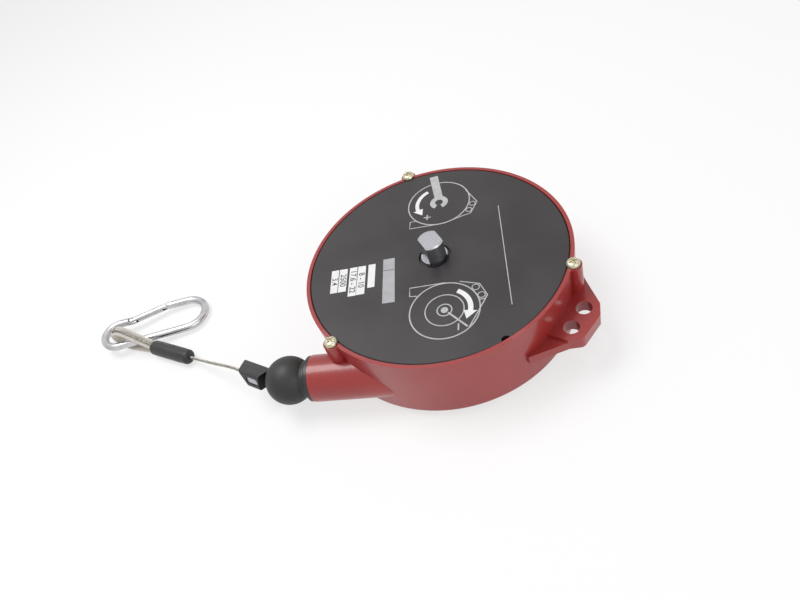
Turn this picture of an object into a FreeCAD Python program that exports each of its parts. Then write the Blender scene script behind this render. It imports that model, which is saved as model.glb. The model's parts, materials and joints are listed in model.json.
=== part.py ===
import FreeCAD, Part
import math
import os
import re
import Sketcher

# Spring tool balancer: a cast drum housing with a suspension lug and a rope nozzle, a grooved
# conical drum driven by a spiral spring, a ratcheted spring shaft with a wrench head, and a wire
# rope that ends in a stop ball, a clamp, a thimble and a snap hook.
# Frame: origin on the drum axis at the rest face of the back boss, +Z out of the front cover,
# the rope leaves along -X.  All sizes are millimetres and degrees.

Vector = FreeCAD.Vector
Rotation = FreeCAD.Rotation
Placement = FreeCAD.Placement

SIZES = [
    # housing
    ("rim_radius", 97.0, "outside of the housing at the cover"),
    ("foot_draft", 1.4, "how much narrower the housing is at its back edge"),
    ("wall", 4.5, "side wall"),
    ("foot_round", 4.0, "rounding of the back edge"),
    ("boss_rise", 4.5, "height of the back boss below the floor plate"),
    ("back_boss_radius", 54.0, "round back boss that the housing rests on"),
    ("floor_plate", 4.0, "floor plate of the housing"),
    ("back_skin", 2.0, "metal left behind the blind back bore"),
    ("housing_depth", 60.0, "rest face to the front of the cover"),
    ("fit_gap", 0.3, "gap round the seated cover and between flat neighbours"),
    ("running_gap", 0.05, "radial clearance of a running fit"),
    ("rim_lip", 3.0, "rim of the housing round the cover"),
    ("cover_plate", 4.0, "front cover plate"),
    ("cover_edge_chamfer", 0.8, "front edge of the cover"),
    ("cover_hub_radius", 17.5, "hub on the inside of the cover"),
    ("cover_hub_height", 3.5, "hub on the inside of the cover"),
    ("notch_radius", 3.2, "lifting notch in the edge of the cover"),
    ("notch_angle", -58.3, "direction of the lifting notch"),
    ("screw_overhang", 0.4, "screw circle outside the rim"),
    ("first_screw_angle", -14.0, "direction of the screw beside the lug"),
    ("screw_boss_radius", 5.8, "bosses of the cover screws"),
    ("screw_boss_length", 34.0, "bosses of the cover screws"),
    ("screw_radius", 2.5, "cover screw shank"),
    ("screw_length", 16.0, "cover screw shank"),
    ("screw_head_radius", 4.9, "cover screw head"),
    ("screw_head_height", 3.4, "cover screw head"),
    # rope nozzle
    ("nozzle_offset", 74.3, "nozzle axis beside the drum axis"),
    ("nozzle_height", 27.1, "nozzle axis above the rest face"),
    ("nozzle_radius", 16.8, "outside of the nozzle"),
    ("nozzle_end", 90.6, "end face of the nozzle from the drum axis"),
    ("nozzle_bore", 9.0, "bore radius of the nozzle"),
    ("guide_collar", 3.4, "thickness of the guide bush collar"),
    ("guide_lip", 1.9, "seat ring of the guide bush for the ball"),
    ("guide_lip_radius", 13.4, "seat ring of the guide bush for the ball"),
    ("guide_spigot", 14.0, "guide bush length in the nozzle"),
    ("rope_passage", 2.3, "hole radius for the rope in guides and ball"),
    # suspension lug
    ("lug_bottom", 28.0, "underside of the lug"),
    ("lug_flange", 6.9, "thickness of the lug flange"),
    ("lug_pad_rise", 2.5, "raised pad round the lug holes"),
    ("lug_hole_radius", 5.5, "suspension holes"),
    ("upper_hole_reach", 10.13, "suspension hole beyond the rim"),
    ("upper_hole_angle", -23.43, "direction of the suspension hole"),
    ("lower_hole_reach", 9.2, "safety chain hole beyond the rim"),
    ("lower_hole_angle", -32.97, "direction of the safety chain hole"),
    ("lug_corner_round", 4.5, "outer corners of the lug"),
    # spring shaft
    ("wrench_radius", 9.6, "round of the wrench head"),
    ("wrench_flats", 13.8, "width across the wrench flats"),
    ("wrench_length", 16.6, "wrench head in front of the cover"),
    ("flat_angle", -59.0, "direction of the wrench flats at rest"),
    ("shaft_radius", 9.0, "shaft inside the drum"),
    ("back_journal_radius", 8.0, "journal in the back bush"),
    ("front_bush_wall", 2.2, "wall of the front bush"),
    ("back_bush_wall", 2.0, "wall of the back bush"),
    ("spring_slot", 1.8, "slot in the shaft for the spring's inner end"),
    # ratchet
    ("ratchet_radius", 22.0, "tips of the ratchet teeth"),
    ("ratchet_teeth", 24, "number of ratchet teeth"),
    ("tooth_depth", 2.6, "depth of the ratchet teeth"),
    ("ratchet_width", 6.0, "width of the ratchet wheel"),
    ("key_width", 5.0, "key of the ratchet wheel"),
    ("pawl_pivot_radius", 34.0, "pawl pivot from the drum axis"),
    ("pawl_pivot_angle", 152.0, "direction of the pawl pivot"),
    ("pawl_eye_radius", 7.0, "eye of the pawl"),
    ("pawl_pin_radius", 3.0, "pin of the pawl"),
    ("leaf_stud_radius", 36.0, "stud of the pawl spring from the drum axis"),
    # drum
    ("rope_diameter", 2.5, "wire rope"),
    ("groove_pitch", 3.0, "rope groove pitch along the drum axis"),
    ("groove_count", 7, "grooves on the drum"),
    ("flange_stand", 5.1, "flange above the middle of the last turn"),
    ("drum_bottom", 18.5, "back face of the drum"),
    ("drum_web", 3.5, "floor of the drum"),
    ("spring_chamber_radius", 68.0, "spring chamber in the drum"),
    ("chamber_depth", 24.5, "spring chamber in the drum"),
    ("spring_cover_plate", 2.0, "cover of the spring chamber"),
    ("cover_seat", 3.0, "width of the seat round the spring chamber"),
    ("spring_screw_radius", 1.5, "screws of the spring cover"),
    ("spring_screw_head", 3.4, "heads of the spring cover screws"),
    ("drum_hub_radius", 16.0, "hub of the drum"),
    ("drum_bush_wall", 2.0, "wall of the drum bushes"),
    ("small_flange_radius", 79.0, "flange at the small end of the drum"),
    ("flange_gap", 3.5, "gap between the large flange and the wall"),
    # spiral spring
    ("spring_strip", 1.2, "thickness of the spring strip"),
    ("spring_width", 22.0, "width of the spring strip"),
    ("spring_coils", 9, "coils of the spring at rest"),
    ("spring_inner_radius", 11.0, "first coil of the spring"),
    ("spring_outer_radius", 64.0, "last coil of the spring"),
    ("catch_rib", 4.0, "width of the rib that the spring's outer end hooks behind"),
    # stop ball, clamp, sleeve
    ("ball_radius", 17.6, "rubber stop ball"),
    ("ball_centre", 110.2, "ball centre from the drum axis"),
    ("clamp_length", 31.0, "rope clamp"),
    ("clamp_width", 15.0, "rope clamp"),
    ("clamp_height", 12.0, "rope clamp"),
    ("clamp_nose_yaw", 30.0, "slant of the clamp's nose to the near side"),
    ("clamp_nose_drop", 42.0, "slant of the clamp's nose downward"),
    ("clamp_roll", 25.0, "roll of the clamp about the rope"),
    ("clamp_round", 2.4, "long edges of the clamp"),
    ("clamp_nose_round", 1.0, "edges round the clamp's slanted nose"),
    ("jaw_length", 12.0, "steel jaw in the clamp"),
    ("jaw_width", 5.4, "steel jaw in the clamp"),
    ("sleeve_radius", 6.2, "black sleeve over the rope ferrule"),
    ("sleeve_length", 41.5, "black sleeve over the rope ferrule"),
    ("ferrule_radius", 4.0, "pressed ferrule in the sleeve"),
    # thimble and snap hook
    ("thimble_length", 41.0, "thimble from the sleeve to its round end"),
    ("thimble_radius", 13.5, "outside of the thimble's round end"),
    ("thimble_band", 2.8, "thimble from groove side to opening"),
    ("thimble_width", 5.6, "thimble across its groove"),
    ("thimble_roll", 75.0, "roll of the thimble about the sleeve axis"),
    ("hook_wire", 6.6, "wire of the snap hook"),
    ("hook_length", 101.0, "snap hook overall"),
    ("hook_eye_radius", 13.5, "centreline radius of the hook's small end"),
    ("hook_bow_radius", 18.0, "centreline radius of the hook's bow"),
    ("gate_diameter", 6.0, "gate of the snap hook"),
    ("gate_pin_radius", 1.2, "rivet of the gate"),
    ("tongue_thickness", 2.6, "flat tongue of the hook in the gate's fork"),
    ("catch_length", 4.0, "catch at the hook's nose inside the gate"),
]
NAMES = [alias for alias, value, meaning in SIZES]

document = FreeCAD.newDocument("ToolBalancer")
sheet = document.addObject("Spreadsheet::Sheet", "Sizes")
for row, (alias, value, meaning) in enumerate(SIZES, 1):
    sheet.set("A%d" % row, alias)
    sheet.set("B%d" % row, str(value))
    sheet.set("C%d" % row, meaning)
    sheet.setAlias("B%d" % row, alias)
document.recompute()

PARTS = []

# Heights that several pieces share, as expressions of the sheet.
FLOOR = "(boss_rise + floor_plate)"
COVER_BACK = "(housing_depth - cover_plate)"
CAVITY = "(rim_radius - wall)"
FOOT = "(rim_radius - foot_draft)"
COVER_EDGE = "(rim_radius - rim_lip)"
SCREW_CIRCLE = "(rim_radius + screw_overhang)"
RATCHET_BACK = "(boss_rise + floor_plate + 2 * fit_gap)"
CHAMBER_FLOOR = "(drum_bottom + drum_web)"
CHAMBER_TOP = "(drum_bottom + drum_web + chamber_depth)"
DRUM_TOP = "(drum_bottom + drum_web + chamber_depth + spring_cover_plate)"
RATCHET_TOP = "(boss_rise + floor_plate + 2 * fit_gap + ratchet_width)"
SPRING_SCREWS = "(spring_chamber_radius + cover_seat + spring_screw_radius + 0.9)"
WASHER_TOP = "(drum_bottom + drum_web + chamber_depth + spring_cover_plate + 1.5)"
DRUM_BUSH = "(shaft_radius + running_gap + drum_bush_wall)"
LARGE_FLANGE = "(rim_radius - wall - flange_gap)"
GROWTH = "((rim_radius - wall - flange_gap - flange_stand - nozzle_offset) / (groove_count - 1))"
# The pawl's nose sits where its lift is straight out from the wheel.
NOSE = "(pawl_pivot_angle + acos((ratchet_radius - tooth_depth + fit_gap) / pawl_pivot_radius) / 1deg)"
NOZZLE_LINE = Rotation(Vector(0, 1, 0), -90)


def size(alias):
    """The number that the sheet holds under this alias."""
    return float(getattr(sheet, alias))


def bound(expression):
    """The expression with every alias made a reference to the sheet."""
    def reference(word):
        return "Sizes." + word.group() if word.group() in NAMES else word.group()
    return re.sub(r"[a-z_]+", reference, str(expression))


def tie(thing, link, expression):
    thing.setExpression(link, bound(expression))


def new_body(label, spot=None, turn=None):
    """A PartDesign body; spot gives its three base coordinates as expressions."""
    body = document.addObject("PartDesign::Body", label)
    body.Label = label
    if turn is not None:
        body.Placement = Placement(Vector(), turn)
    for axis, expression in zip("xyz", spot or ()):
        tie(body, "Placement.Base." + axis, expression)
    PARTS.append(body)
    return body


def new_sketch(body, name, role, offset="0"):
    """A sketch on one of the body's own origin planes, moved along the plane's normal."""
    sketch = body.newObject("Sketcher::SketchObject", name)
    plane = [item for item in body.Origin.OriginFeatures if item.Role == role][0]
    sketch.AttachmentSupport = [(plane, "")]
    sketch.MapMode = "FlatFace"
    tie(sketch, "AttachmentOffset.Base.z", offset)
    return sketch


def pin_point(sketch, geometry, end, x, y):
    """Holds one point of a sketch at the coordinates given as expressions."""
    for kind, expression in (("DistanceX", x), ("DistanceY", y)):
        rule = sketch.addConstraint(Sketcher.Constraint(kind, -1, 1, geometry, end, 1.0))
        tie(sketch, "Constraints[%d]" % rule, expression)


def outline(sketch, corners):
    """A closed outline through corners whose coordinates are expressions."""
    first = sketch.GeometryCount
    count = len(corners)
    for index in range(count):
        start = 2 * math.pi * index / count
        end = 2 * math.pi * (index + 1) / count
        sketch.addGeometry(Part.LineSegment(
            Vector(40 + math.cos(start), math.sin(start), 0),
            Vector(40 + math.cos(end), math.sin(end), 0)), False)
    for index in range(count):
        after = first + (index + 1) % count
        sketch.addConstraint(Sketcher.Constraint("Coincident", first + index, 2, after, 1))
    for index, (x, y) in enumerate(corners):
        pin_point(sketch, first + index, 1, x, y)
    return sketch


def circle(sketch, radius, x="0", y="0"):
    """A circle with its centre and radius as expressions."""
    number = sketch.addGeometry(Part.Circle(Vector(1, 1, 0), Vector(0, 0, 1), 1.0), False)
    pin_point(sketch, number, 3, x, y)
    rule = sketch.addConstraint(Sketcher.Constraint("Radius", number, 1.0))
    tie(sketch, "Constraints[%d]" % rule, radius)
    return sketch


def turned(body, name, corners, groove=False):
    """Adds, or cuts, the ring that the section (radius, height) sweeps about the body's Z axis."""
    sketch = outline(new_sketch(body, name + "Section", "XZ_Plane"), corners)
    kind = "PartDesign::Groove" if groove else "PartDesign::Revolution"
    feature = body.newObject(kind, name)
    feature.Profile = sketch
    feature.ReferenceAxis = (sketch, ["V_Axis"])
    sketch.Visibility = False
    return feature


def pad(body, name, sketch, length):
    feature = body.newObject("PartDesign::Pad", name)
    feature.Profile = sketch
    tie(feature, "Length", length)
    return feature


def settle(body):
    """Recomputes the document and stops at the first feature of the body that failed."""
    document.recompute()
    for feature in body.Group:
        if "Invalid" in feature.State or "Error" in feature.State:
            raise RuntimeError("%s of %s failed" % (feature.Name, body.Label))


def pocket(body, name, sketch, length, upward=False):
    """Cuts along the sketch's normal when upward, against it otherwise."""
    settle(body)
    before = body.Shape.Volume
    feature = body.newObject("PartDesign::Pocket", name)
    feature.Profile = sketch
    feature.Reversed = upward
    tie(feature, "Length", length)
    document.recompute()
    if body.Shape.Volume > before - 0.001:
        raise RuntimeError("pocket %s of %s cuts nothing" % (name, body.Label))
    return feature


def ring_pattern(body, feature, count, label="Ring"):
    """Repeats a feature about the body's Z axis; count is an expression."""
    pattern = body.newObject("PartDesign::PolarPattern", label)
    pattern.Originals = [feature]
    axis = [item for item in body.Origin.OriginFeatures if item.Role == "Z_Axis"][0]
    pattern.Axis = (axis, [""])
    pattern.Angle = 360
    tie(pattern, "Occurrences", count)
    body.Tip = pattern
    return pattern


def edges_where(shape, test):
    return ["Edge%d" % (index + 1) for index, edge in enumerate(shape.Edges) if test(edge)]


def round_edges(body, name, test, radius, chamfer=False):
    """Rounds or chamfers the edges of the body that the test picks."""
    settle(body)
    base = body.Tip
    names = edges_where(body.Shape, test)
    feature = body.newObject("PartDesign::Chamfer" if chamfer else "PartDesign::Fillet", name)
    feature.Base = (base, names)
    tie(feature, "Size" if chamfer else "Radius", radius)
    return feature


def plain_part(label, shape, place=None):
    """A piece whose shape is made directly from the sheet's values."""
    piece = document.addObject("Part::Feature", label)
    piece.Label = label
    piece.Shape = shape
    if place is not None:
        piece.Placement = place.multiply(piece.Placement)
    PARTS.append(piece)
    return piece


def polar(radius, angle):
    """Expressions for x and y at a radius and an angle in degrees."""
    return ("(%s) * cos((%s) * 1deg)" % (radius, angle), "(%s) * sin((%s) * 1deg)" % (radius, angle))


def bush(label, inner, outer, bottom, top, spot=None, turn=None):
    body = new_body(label, spot, turn)
    turned(body, "Bush", [(inner, bottom), (outer, bottom), (outer, top), (inner, top)])
    return body


def rounded_path(corners, radii):
    """Straight runs through the corners, joined by tangent arcs of the given radii."""
    edges = []
    start = corners[0]
    for index in range(1, len(corners) - 1):
        corner = corners[index]
        back = (corners[index - 1] - corner).normalize()
        ahead = (corners[index + 1] - corner).normalize()
        inside = math.acos(max(-1.0, min(1.0, back.dot(ahead))))
        reach = radii[index - 1] / math.tan(inside / 2)
        middle = (back + ahead).normalize()
        centre = corner + middle * (radii[index - 1] / math.sin(inside / 2))
        first = corner + back * reach
        last = corner + ahead * reach
        if (first - start).Length > 1e-6:
            edges.append(Part.LineSegment(start, first).toShape())
        edges.append(Part.Arc(first, centre - middle * radii[index - 1], last).toShape())
        start = last
    if (corners[-1] - start).Length > 1e-6:
        edges.append(Part.LineSegment(start, corners[-1]).toShape())
    return Part.Wire(edges)


def tube(path, radius):
    """A round bar of the given radius along a path."""
    first = path.OrderedEdges[0]
    start = first.valueAt(first.FirstParameter)
    ring = Part.Wire([Part.Circle(start, first.tangentAt(first.FirstParameter), radius).toShape()])
    return path.makePipeShell([ring], True, False)


# ---------------------------------------------------------------- housing

def make_housing():
    """Cast cup with back boss, rope nozzle, three screw bosses and the suspension lug."""
    body = new_body("housing")
    turned(body, "Cup", [
        ("0", "0"), ("back_boss_radius - 1", "0"), ("back_boss_radius", "1"),
        ("back_boss_radius", "boss_rise"), (FOOT, "boss_rise"),
        ("rim_radius", "housing_depth"), ("0", "housing_depth")])
    round_edges(body, "FootRound", lambda edge: abs(edge.BoundBox.ZMax - size("boss_rise")) < 1e-6
                and edge.BoundBox.ZLength < 1e-6
                and edge.BoundBox.XLength > 3 * size("back_boss_radius"), "foot_round")
    nozzle = circle(new_sketch(body, "NozzleSection", "YZ_Plane", "-nozzle_end"),
                    "nozzle_radius", "-nozzle_offset", "nozzle_height")
    pad(body, "Nozzle", nozzle, "nozzle_end - 20")
    boss = circle(new_sketch(body, "BossSection", "XY_Plane", "housing_depth - screw_boss_length"),
                  "screw_boss_radius", *polar(SCREW_CIRCLE, "first_screw_angle"))
    ring_pattern(body, pad(body, "ScrewBoss", boss, "screw_boss_length"), "3", "ScrewBosses")
    flange = outline(new_sketch(body, "LugFlangeOutline", "XY_Plane", "lug_bottom"),
                     beyond_rim(LUG_FLANGE))
    pad(body, "LugFlange", flange, "lug_flange")
    raised = outline(new_sketch(body, "LugPadOutline", "XY_Plane", "lug_bottom"),
                     beyond_rim(LUG_PAD))
    pad(body, "LugPad", raised, "lug_flange + lug_pad_rise")
    round_edges(body, "LugCorners", lug_corner, "lug_corner_round")
    turned(body, "Cavity", [
        ("0", FLOOR), (FOOT + " - wall", FLOOR), (CAVITY, COVER_BACK),
        (COVER_EDGE + " + fit_gap", COVER_BACK), (COVER_EDGE + " + fit_gap", "housing_depth + 1"),
        ("0", "housing_depth + 1")], groove=True)
    bore = circle(new_sketch(body, "NozzleBoreSection", "YZ_Plane", "-nozzle_end"),
                  "nozzle_bore", "-nozzle_offset", "nozzle_height")
    pocket(body, "NozzleBore", bore, "nozzle_end - 30", upward=True)
    back = circle(new_sketch(body, "BackBoreSection", "XY_Plane", "back_skin"),
                  "back_journal_radius + running_gap + back_bush_wall")
    pocket(body, "BackBore", back, "boss_rise + floor_plate", upward=True)
    holes = new_sketch(body, "LugHoleSection", "XY_Plane")
    circle(holes, "lug_hole_radius", *polar("rim_radius + upper_hole_reach", "upper_hole_angle"))
    circle(holes, "lug_hole_radius", *polar("rim_radius + lower_hole_reach", "lower_hole_angle"))
    pocket(body, "LugHoles", holes, "housing_depth", upward=True)
    pin = circle(new_sketch(body, "PawlBoreSection", "XY_Plane"), "pawl_pin_radius + running_gap",
                 *polar("pawl_pivot_radius", "pawl_pivot_angle"))
    pocket(body, "PawlBore", pin, "boss_rise + floor_plate", upward=True)
    thread = circle(new_sketch(body, "ScrewHoleSection", "XY_Plane", "housing_depth"),
                    "screw_radius", *polar(SCREW_CIRCLE, "first_screw_angle"))
    hole = pocket(body, "ScrewHole", thread, "screw_length + 1")
    ring_pattern(body, hole, "3", "ScrewHoles")


# Lug outlines, corner by corner from the wall beside the lower flange round to the upper boss: how far
# each corner lies beyond the rim, and its direction.
LUG_PAD = [
    (-20.4, -40.8), (0.7, -39.8), (12.8, -38.5), (20.5, -35.2), (22.0, -24.95), (19.0, -20.2),
    (9.7, -13.6), (3.2, -6.9), (-16.1, -8.5)]
LUG_ROUND_CORNERS = (3, 5)
LUG_FLANGE = [(-18.6, -52.3), (1.3, -52.0), (13.5, -38.1), (2.5, -30.2), (-26.5, -34.6)]


def beyond_rim(corners):
    return [polar("rim_radius + %s" % reach, angle) for reach, angle in corners]


def lug_corner(edge):
    """The two upright outer corners of the raised lug pad."""
    box = edge.BoundBox
    upright = box.XLength < 1e-6 and box.YLength < 1e-6
    found = False
    for number in LUG_ROUND_CORNERS:
        reach, angle = LUG_PAD[number]
        radius = size("rim_radius") + reach
        turn = math.radians(angle)
        found |= math.hypot(box.XMin - radius * math.cos(turn), box.YMin - radius * math.sin(turn)) < 1e-3
    return upright and found


def make_cover():
    """Front cover disc with a bush hub behind it and a half-round notch in its edge."""
    body = new_body("front_cover")
    bore = "wrench_radius + running_gap + front_bush_wall"
    hub_back = COVER_BACK + " - cover_hub_height"
    turned(body, "Disc", [
        (bore, hub_back), ("cover_hub_radius", hub_back), ("cover_hub_radius", COVER_BACK),
        (COVER_EDGE, COVER_BACK), (COVER_EDGE, "housing_depth - cover_edge_chamfer"),
        (COVER_EDGE + " - cover_edge_chamfer", "housing_depth"), (bore, "housing_depth")])
    notch = circle(new_sketch(body, "NotchSection", "XY_Plane", COVER_BACK),
                   "notch_radius", *polar(COVER_EDGE + " + 0.6", "notch_angle"))
    pocket(body, "Notch", notch, "cover_plate + 1", upward=True)


def screw_ring(label, ring, angle, count, seat, head, shank):
    """A ring of screws; head and shank are (radius, height or length) from the seat plane."""
    body = new_body(label)
    body.Placement = Placement(Vector(), Rotation(Vector(0, 0, 1), 0.001))
    tie(body, "Placement.Rotation.Angle", angle)
    ring = "(" + ring + ")"
    crown = [(ring + " + 0.55 * " + head[0], seat + " + " + head[1]),
             (ring + " + " + head[0], seat + " + 0.45 * " + head[1])]
    sketch = outline(new_sketch(body, "ScrewSection", "XZ_Plane"), [
        (ring, seat + " - " + shank[1]), (ring + " + " + shank[0], seat + " - " + shank[1]),
        (ring + " + " + shank[0], seat), (ring + " + " + head[0], seat)]
        + crown[::-1] + [(ring, seat + " + " + head[1])])
    axis = sketch.addGeometry(Part.LineSegment(Vector(40, 0, 0), Vector(40, 9, 0)), True)
    pin_point(sketch, axis, 1, ring, "0")
    pin_point(sketch, axis, 2, ring, "9")
    screw = body.newObject("PartDesign::Revolution", "Screw")
    screw.Profile = sketch
    screw.ReferenceAxis = (sketch, ["Axis0"])
    ring_pattern(body, screw, count, "Screws")


# ---------------------------------------------------------------- spring shaft and ratchet

def make_shaft():
    """Stepped shaft: wrench flats in front, spring slot in the middle, key seat behind."""
    body = new_body("spring_shaft")
    tip = "housing_depth + wrench_length"
    turned(body, "Steps", [
        ("0", "back_skin + fit_gap"), ("back_journal_radius", "back_skin + fit_gap"),
        ("back_journal_radius", FLOOR + " + fit_gap"),
        ("shaft_radius", FLOOR + " + fit_gap"), ("shaft_radius", WASHER_TOP),
        ("wrench_radius", WASHER_TOP), ("wrench_radius", tip + " - 1"),
        ("wrench_radius - 1", tip), ("0", tip)])
    flats = new_sketch(body, "FlatSection", "XY_Plane", "housing_depth + 1.5")
    for side in ("", "-"):
        across = "%s(0.5 * wrench_flats)" % side
        beyond = "%s(wrench_radius + 1)" % side
        outline(flats, [
            along_flat(across, "-wrench_radius - 1"), along_flat(beyond, "-wrench_radius - 1"),
            along_flat(beyond, "wrench_radius + 1"), along_flat(across, "wrench_radius + 1")])
    pocket(body, "WrenchFlats", flats, "wrench_length", upward=True)
    slot = outline(new_sketch(body, "SlotSection", "XY_Plane", CHAMBER_FLOOR), [
        ("-shaft_radius - 1", "-0.5 * spring_slot"), ("0.4 * shaft_radius", "-0.5 * spring_slot"),
        ("0.4 * shaft_radius", "0.5 * spring_slot"), ("-shaft_radius - 1", "0.5 * spring_slot")])
    pocket(body, "SpringSlot", slot, "chamber_depth", upward=True)
    seat = outline(new_sketch(body, "KeySeatSection", "XY_Plane", RATCHET_BACK),
                   key_corners("shaft_radius - 0.5 * key_width"))
    pocket(body, "KeySeat", seat, "ratchet_width", upward=True)


def along_flat(across, along):
    """A point of the wrench flats, across and along their direction at rest."""
    return ("(%s) * -sin(flat_angle * 1deg) + (%s) * cos(flat_angle * 1deg)" % (across, along),
            "(%s) * cos(flat_angle * 1deg) + (%s) * sin(flat_angle * 1deg)" % (across, along))


def key_corners(inner, outer="shaft_radius + 0.5 * key_width", slack="0"):
    side = "(0.5 * key_width + %s)" % slack
    return [(inner, "-" + side), (outer, "-" + side), (outer, side), (inner, side)]


def make_ratchet():
    """Ratchet wheel with saw teeth that lock clockwise, seen from the front."""
    body = new_body("ratchet_wheel")
    top = RATCHET_BACK + " + ratchet_width"
    bore = "shaft_radius + running_gap"
    turned(body, "Blank", [
        (bore, RATCHET_BACK), ("ratchet_radius", RATCHET_BACK), ("ratchet_radius", top), (bore, top)])
    root = "(ratchet_radius - tooth_depth)"
    pitch = "360 / ratchet_teeth"
    gap = outline(new_sketch(body, "ToothGapSection", "XY_Plane", RATCHET_BACK), [
        polar(root, NOSE + " + 1"), polar("ratchet_radius + 1", NOSE + " + 1"),
        polar("ratchet_radius + 1", NOSE + " + 1 - 0.92 * " + pitch),
        polar("ratchet_radius", NOSE + " + 1 - 0.92 * " + pitch)])
    ring_pattern(body, pocket(body, "ToothGap", gap, "ratchet_width", upward=True), "ratchet_teeth",
                 "ToothGaps")
    seat = outline(new_sketch(body, "KeywaySection", "XY_Plane", RATCHET_BACK),
                   key_corners("0", "shaft_radius + 0.5 * key_width + fit_gap", "0.05"))
    pocket(body, "Keyway", seat, "ratchet_width", upward=True)


def make_key():
    body = new_body("ratchet_key")
    section = outline(new_sketch(body, "KeySection", "XY_Plane", RATCHET_BACK),
                      key_corners("shaft_radius - 0.5 * key_width + 0.05"))
    pad(body, "Key", section, "ratchet_width")


def make_pawl():
    """Pawl: an eye on its pin and an arm whose nose drops into a tooth gap."""
    body = new_body("pawl")
    eye = circle(new_sketch(body, "EyeSection", "XY_Plane", RATCHET_BACK), "pawl_eye_radius",
                 *polar("pawl_pivot_radius", "pawl_pivot_angle"))
    pad(body, "Eye", eye, "ratchet_width")
    nose = "ratchet_radius - tooth_depth + fit_gap"
    arm = outline(new_sketch(body, "ArmSection", "XY_Plane", RATCHET_BACK), [
        polar("pawl_pivot_radius + 0.8 * pawl_eye_radius", "pawl_pivot_angle - 4.4"),
        polar("pawl_pivot_radius - 0.65 * pawl_eye_radius", "pawl_pivot_angle + 2.6"),
        polar("ratchet_radius + 3 * fit_gap", NOSE + " - 14.5"),
        polar(nose, NOSE),
        polar("ratchet_radius + 3.5", NOSE)])
    pad(body, "Arm", arm, "ratchet_width")
    pin = circle(new_sketch(body, "PinHoleSection", "XY_Plane", RATCHET_BACK), "pawl_pin_radius",
                 *polar("pawl_pivot_radius", "pawl_pivot_angle"))
    pocket(body, "PinHole", pin, "ratchet_width", upward=True)


def make_pawl_pin():
    """Pin pressed in the pawl; its slotted end in the back boss releases the pawl."""
    body = new_body("pawl_pin")
    x, y = polar("pawl_pivot_radius", "pawl_pivot_angle")
    section = circle(new_sketch(body, "PinSection", "XY_Plane", "0.5"), "pawl_pin_radius", x, y)
    pad(body, "Pin", section, RATCHET_BACK + " + ratchet_width - 0.5")
    slot = outline(new_sketch(body, "DriverSlotSection", "XY_Plane"), [
        (x + " - pawl_pin_radius - 1", y + " - 0.5"), (x + " + pawl_pin_radius + 1", y + " - 0.5"),
        (x + " + pawl_pin_radius + 1", y + " + 0.5"), (x + " - pawl_pin_radius - 1", y + " + 0.5")])
    pocket(body, "DriverSlot", slot, "2", upward=True)


def make_pawl_spring():
    """Leaf spring from a stud on the floor to the back of the pawl's arm."""
    base = size("boss_rise") + size("floor_plate")
    gap = size("fit_gap")
    width = size("ratchet_width") - 1
    low = base + 2 * gap + 0.5
    nose_radius = size("ratchet_radius") - size("tooth_depth") + gap
    nose = size("pawl_pivot_angle") + math.degrees(math.acos(nose_radius / size("pawl_pivot_radius")))
    stud = at_angle(size("leaf_stud_radius"), nose - 28)
    touch = at_angle(size("ratchet_radius") + 3.8, nose - 11.5)
    way = touch - stud
    post = Part.makeCylinder(2.5, low + width - base, Vector(stud.x, stud.y, base))
    leaf = Part.makeBox(way.Length - 2.5 - gap / 3, 2 * gap, width, Vector(2.5 + gap / 3, -gap, low))
    plain_part("leaf_stud", post)
    plain_part("pawl_spring", leaf, Placement(stud, Rotation(Vector(1, 0, 0), way)))


def at_angle(radius, angle):
    turn = math.radians(angle)
    return Vector(radius * math.cos(turn), radius * math.sin(turn), 0)


# ---------------------------------------------------------------- drum

def rope_radius(turn):
    """Expression for the rope's centreline radius, a number of turns from the nozzle's groove."""
    return "(nozzle_offset + (%s) * %s)" % (turn, GROWTH)


def rope_height(turn):
    return "(nozzle_height + (%s) * groove_pitch)" % turn


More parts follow.
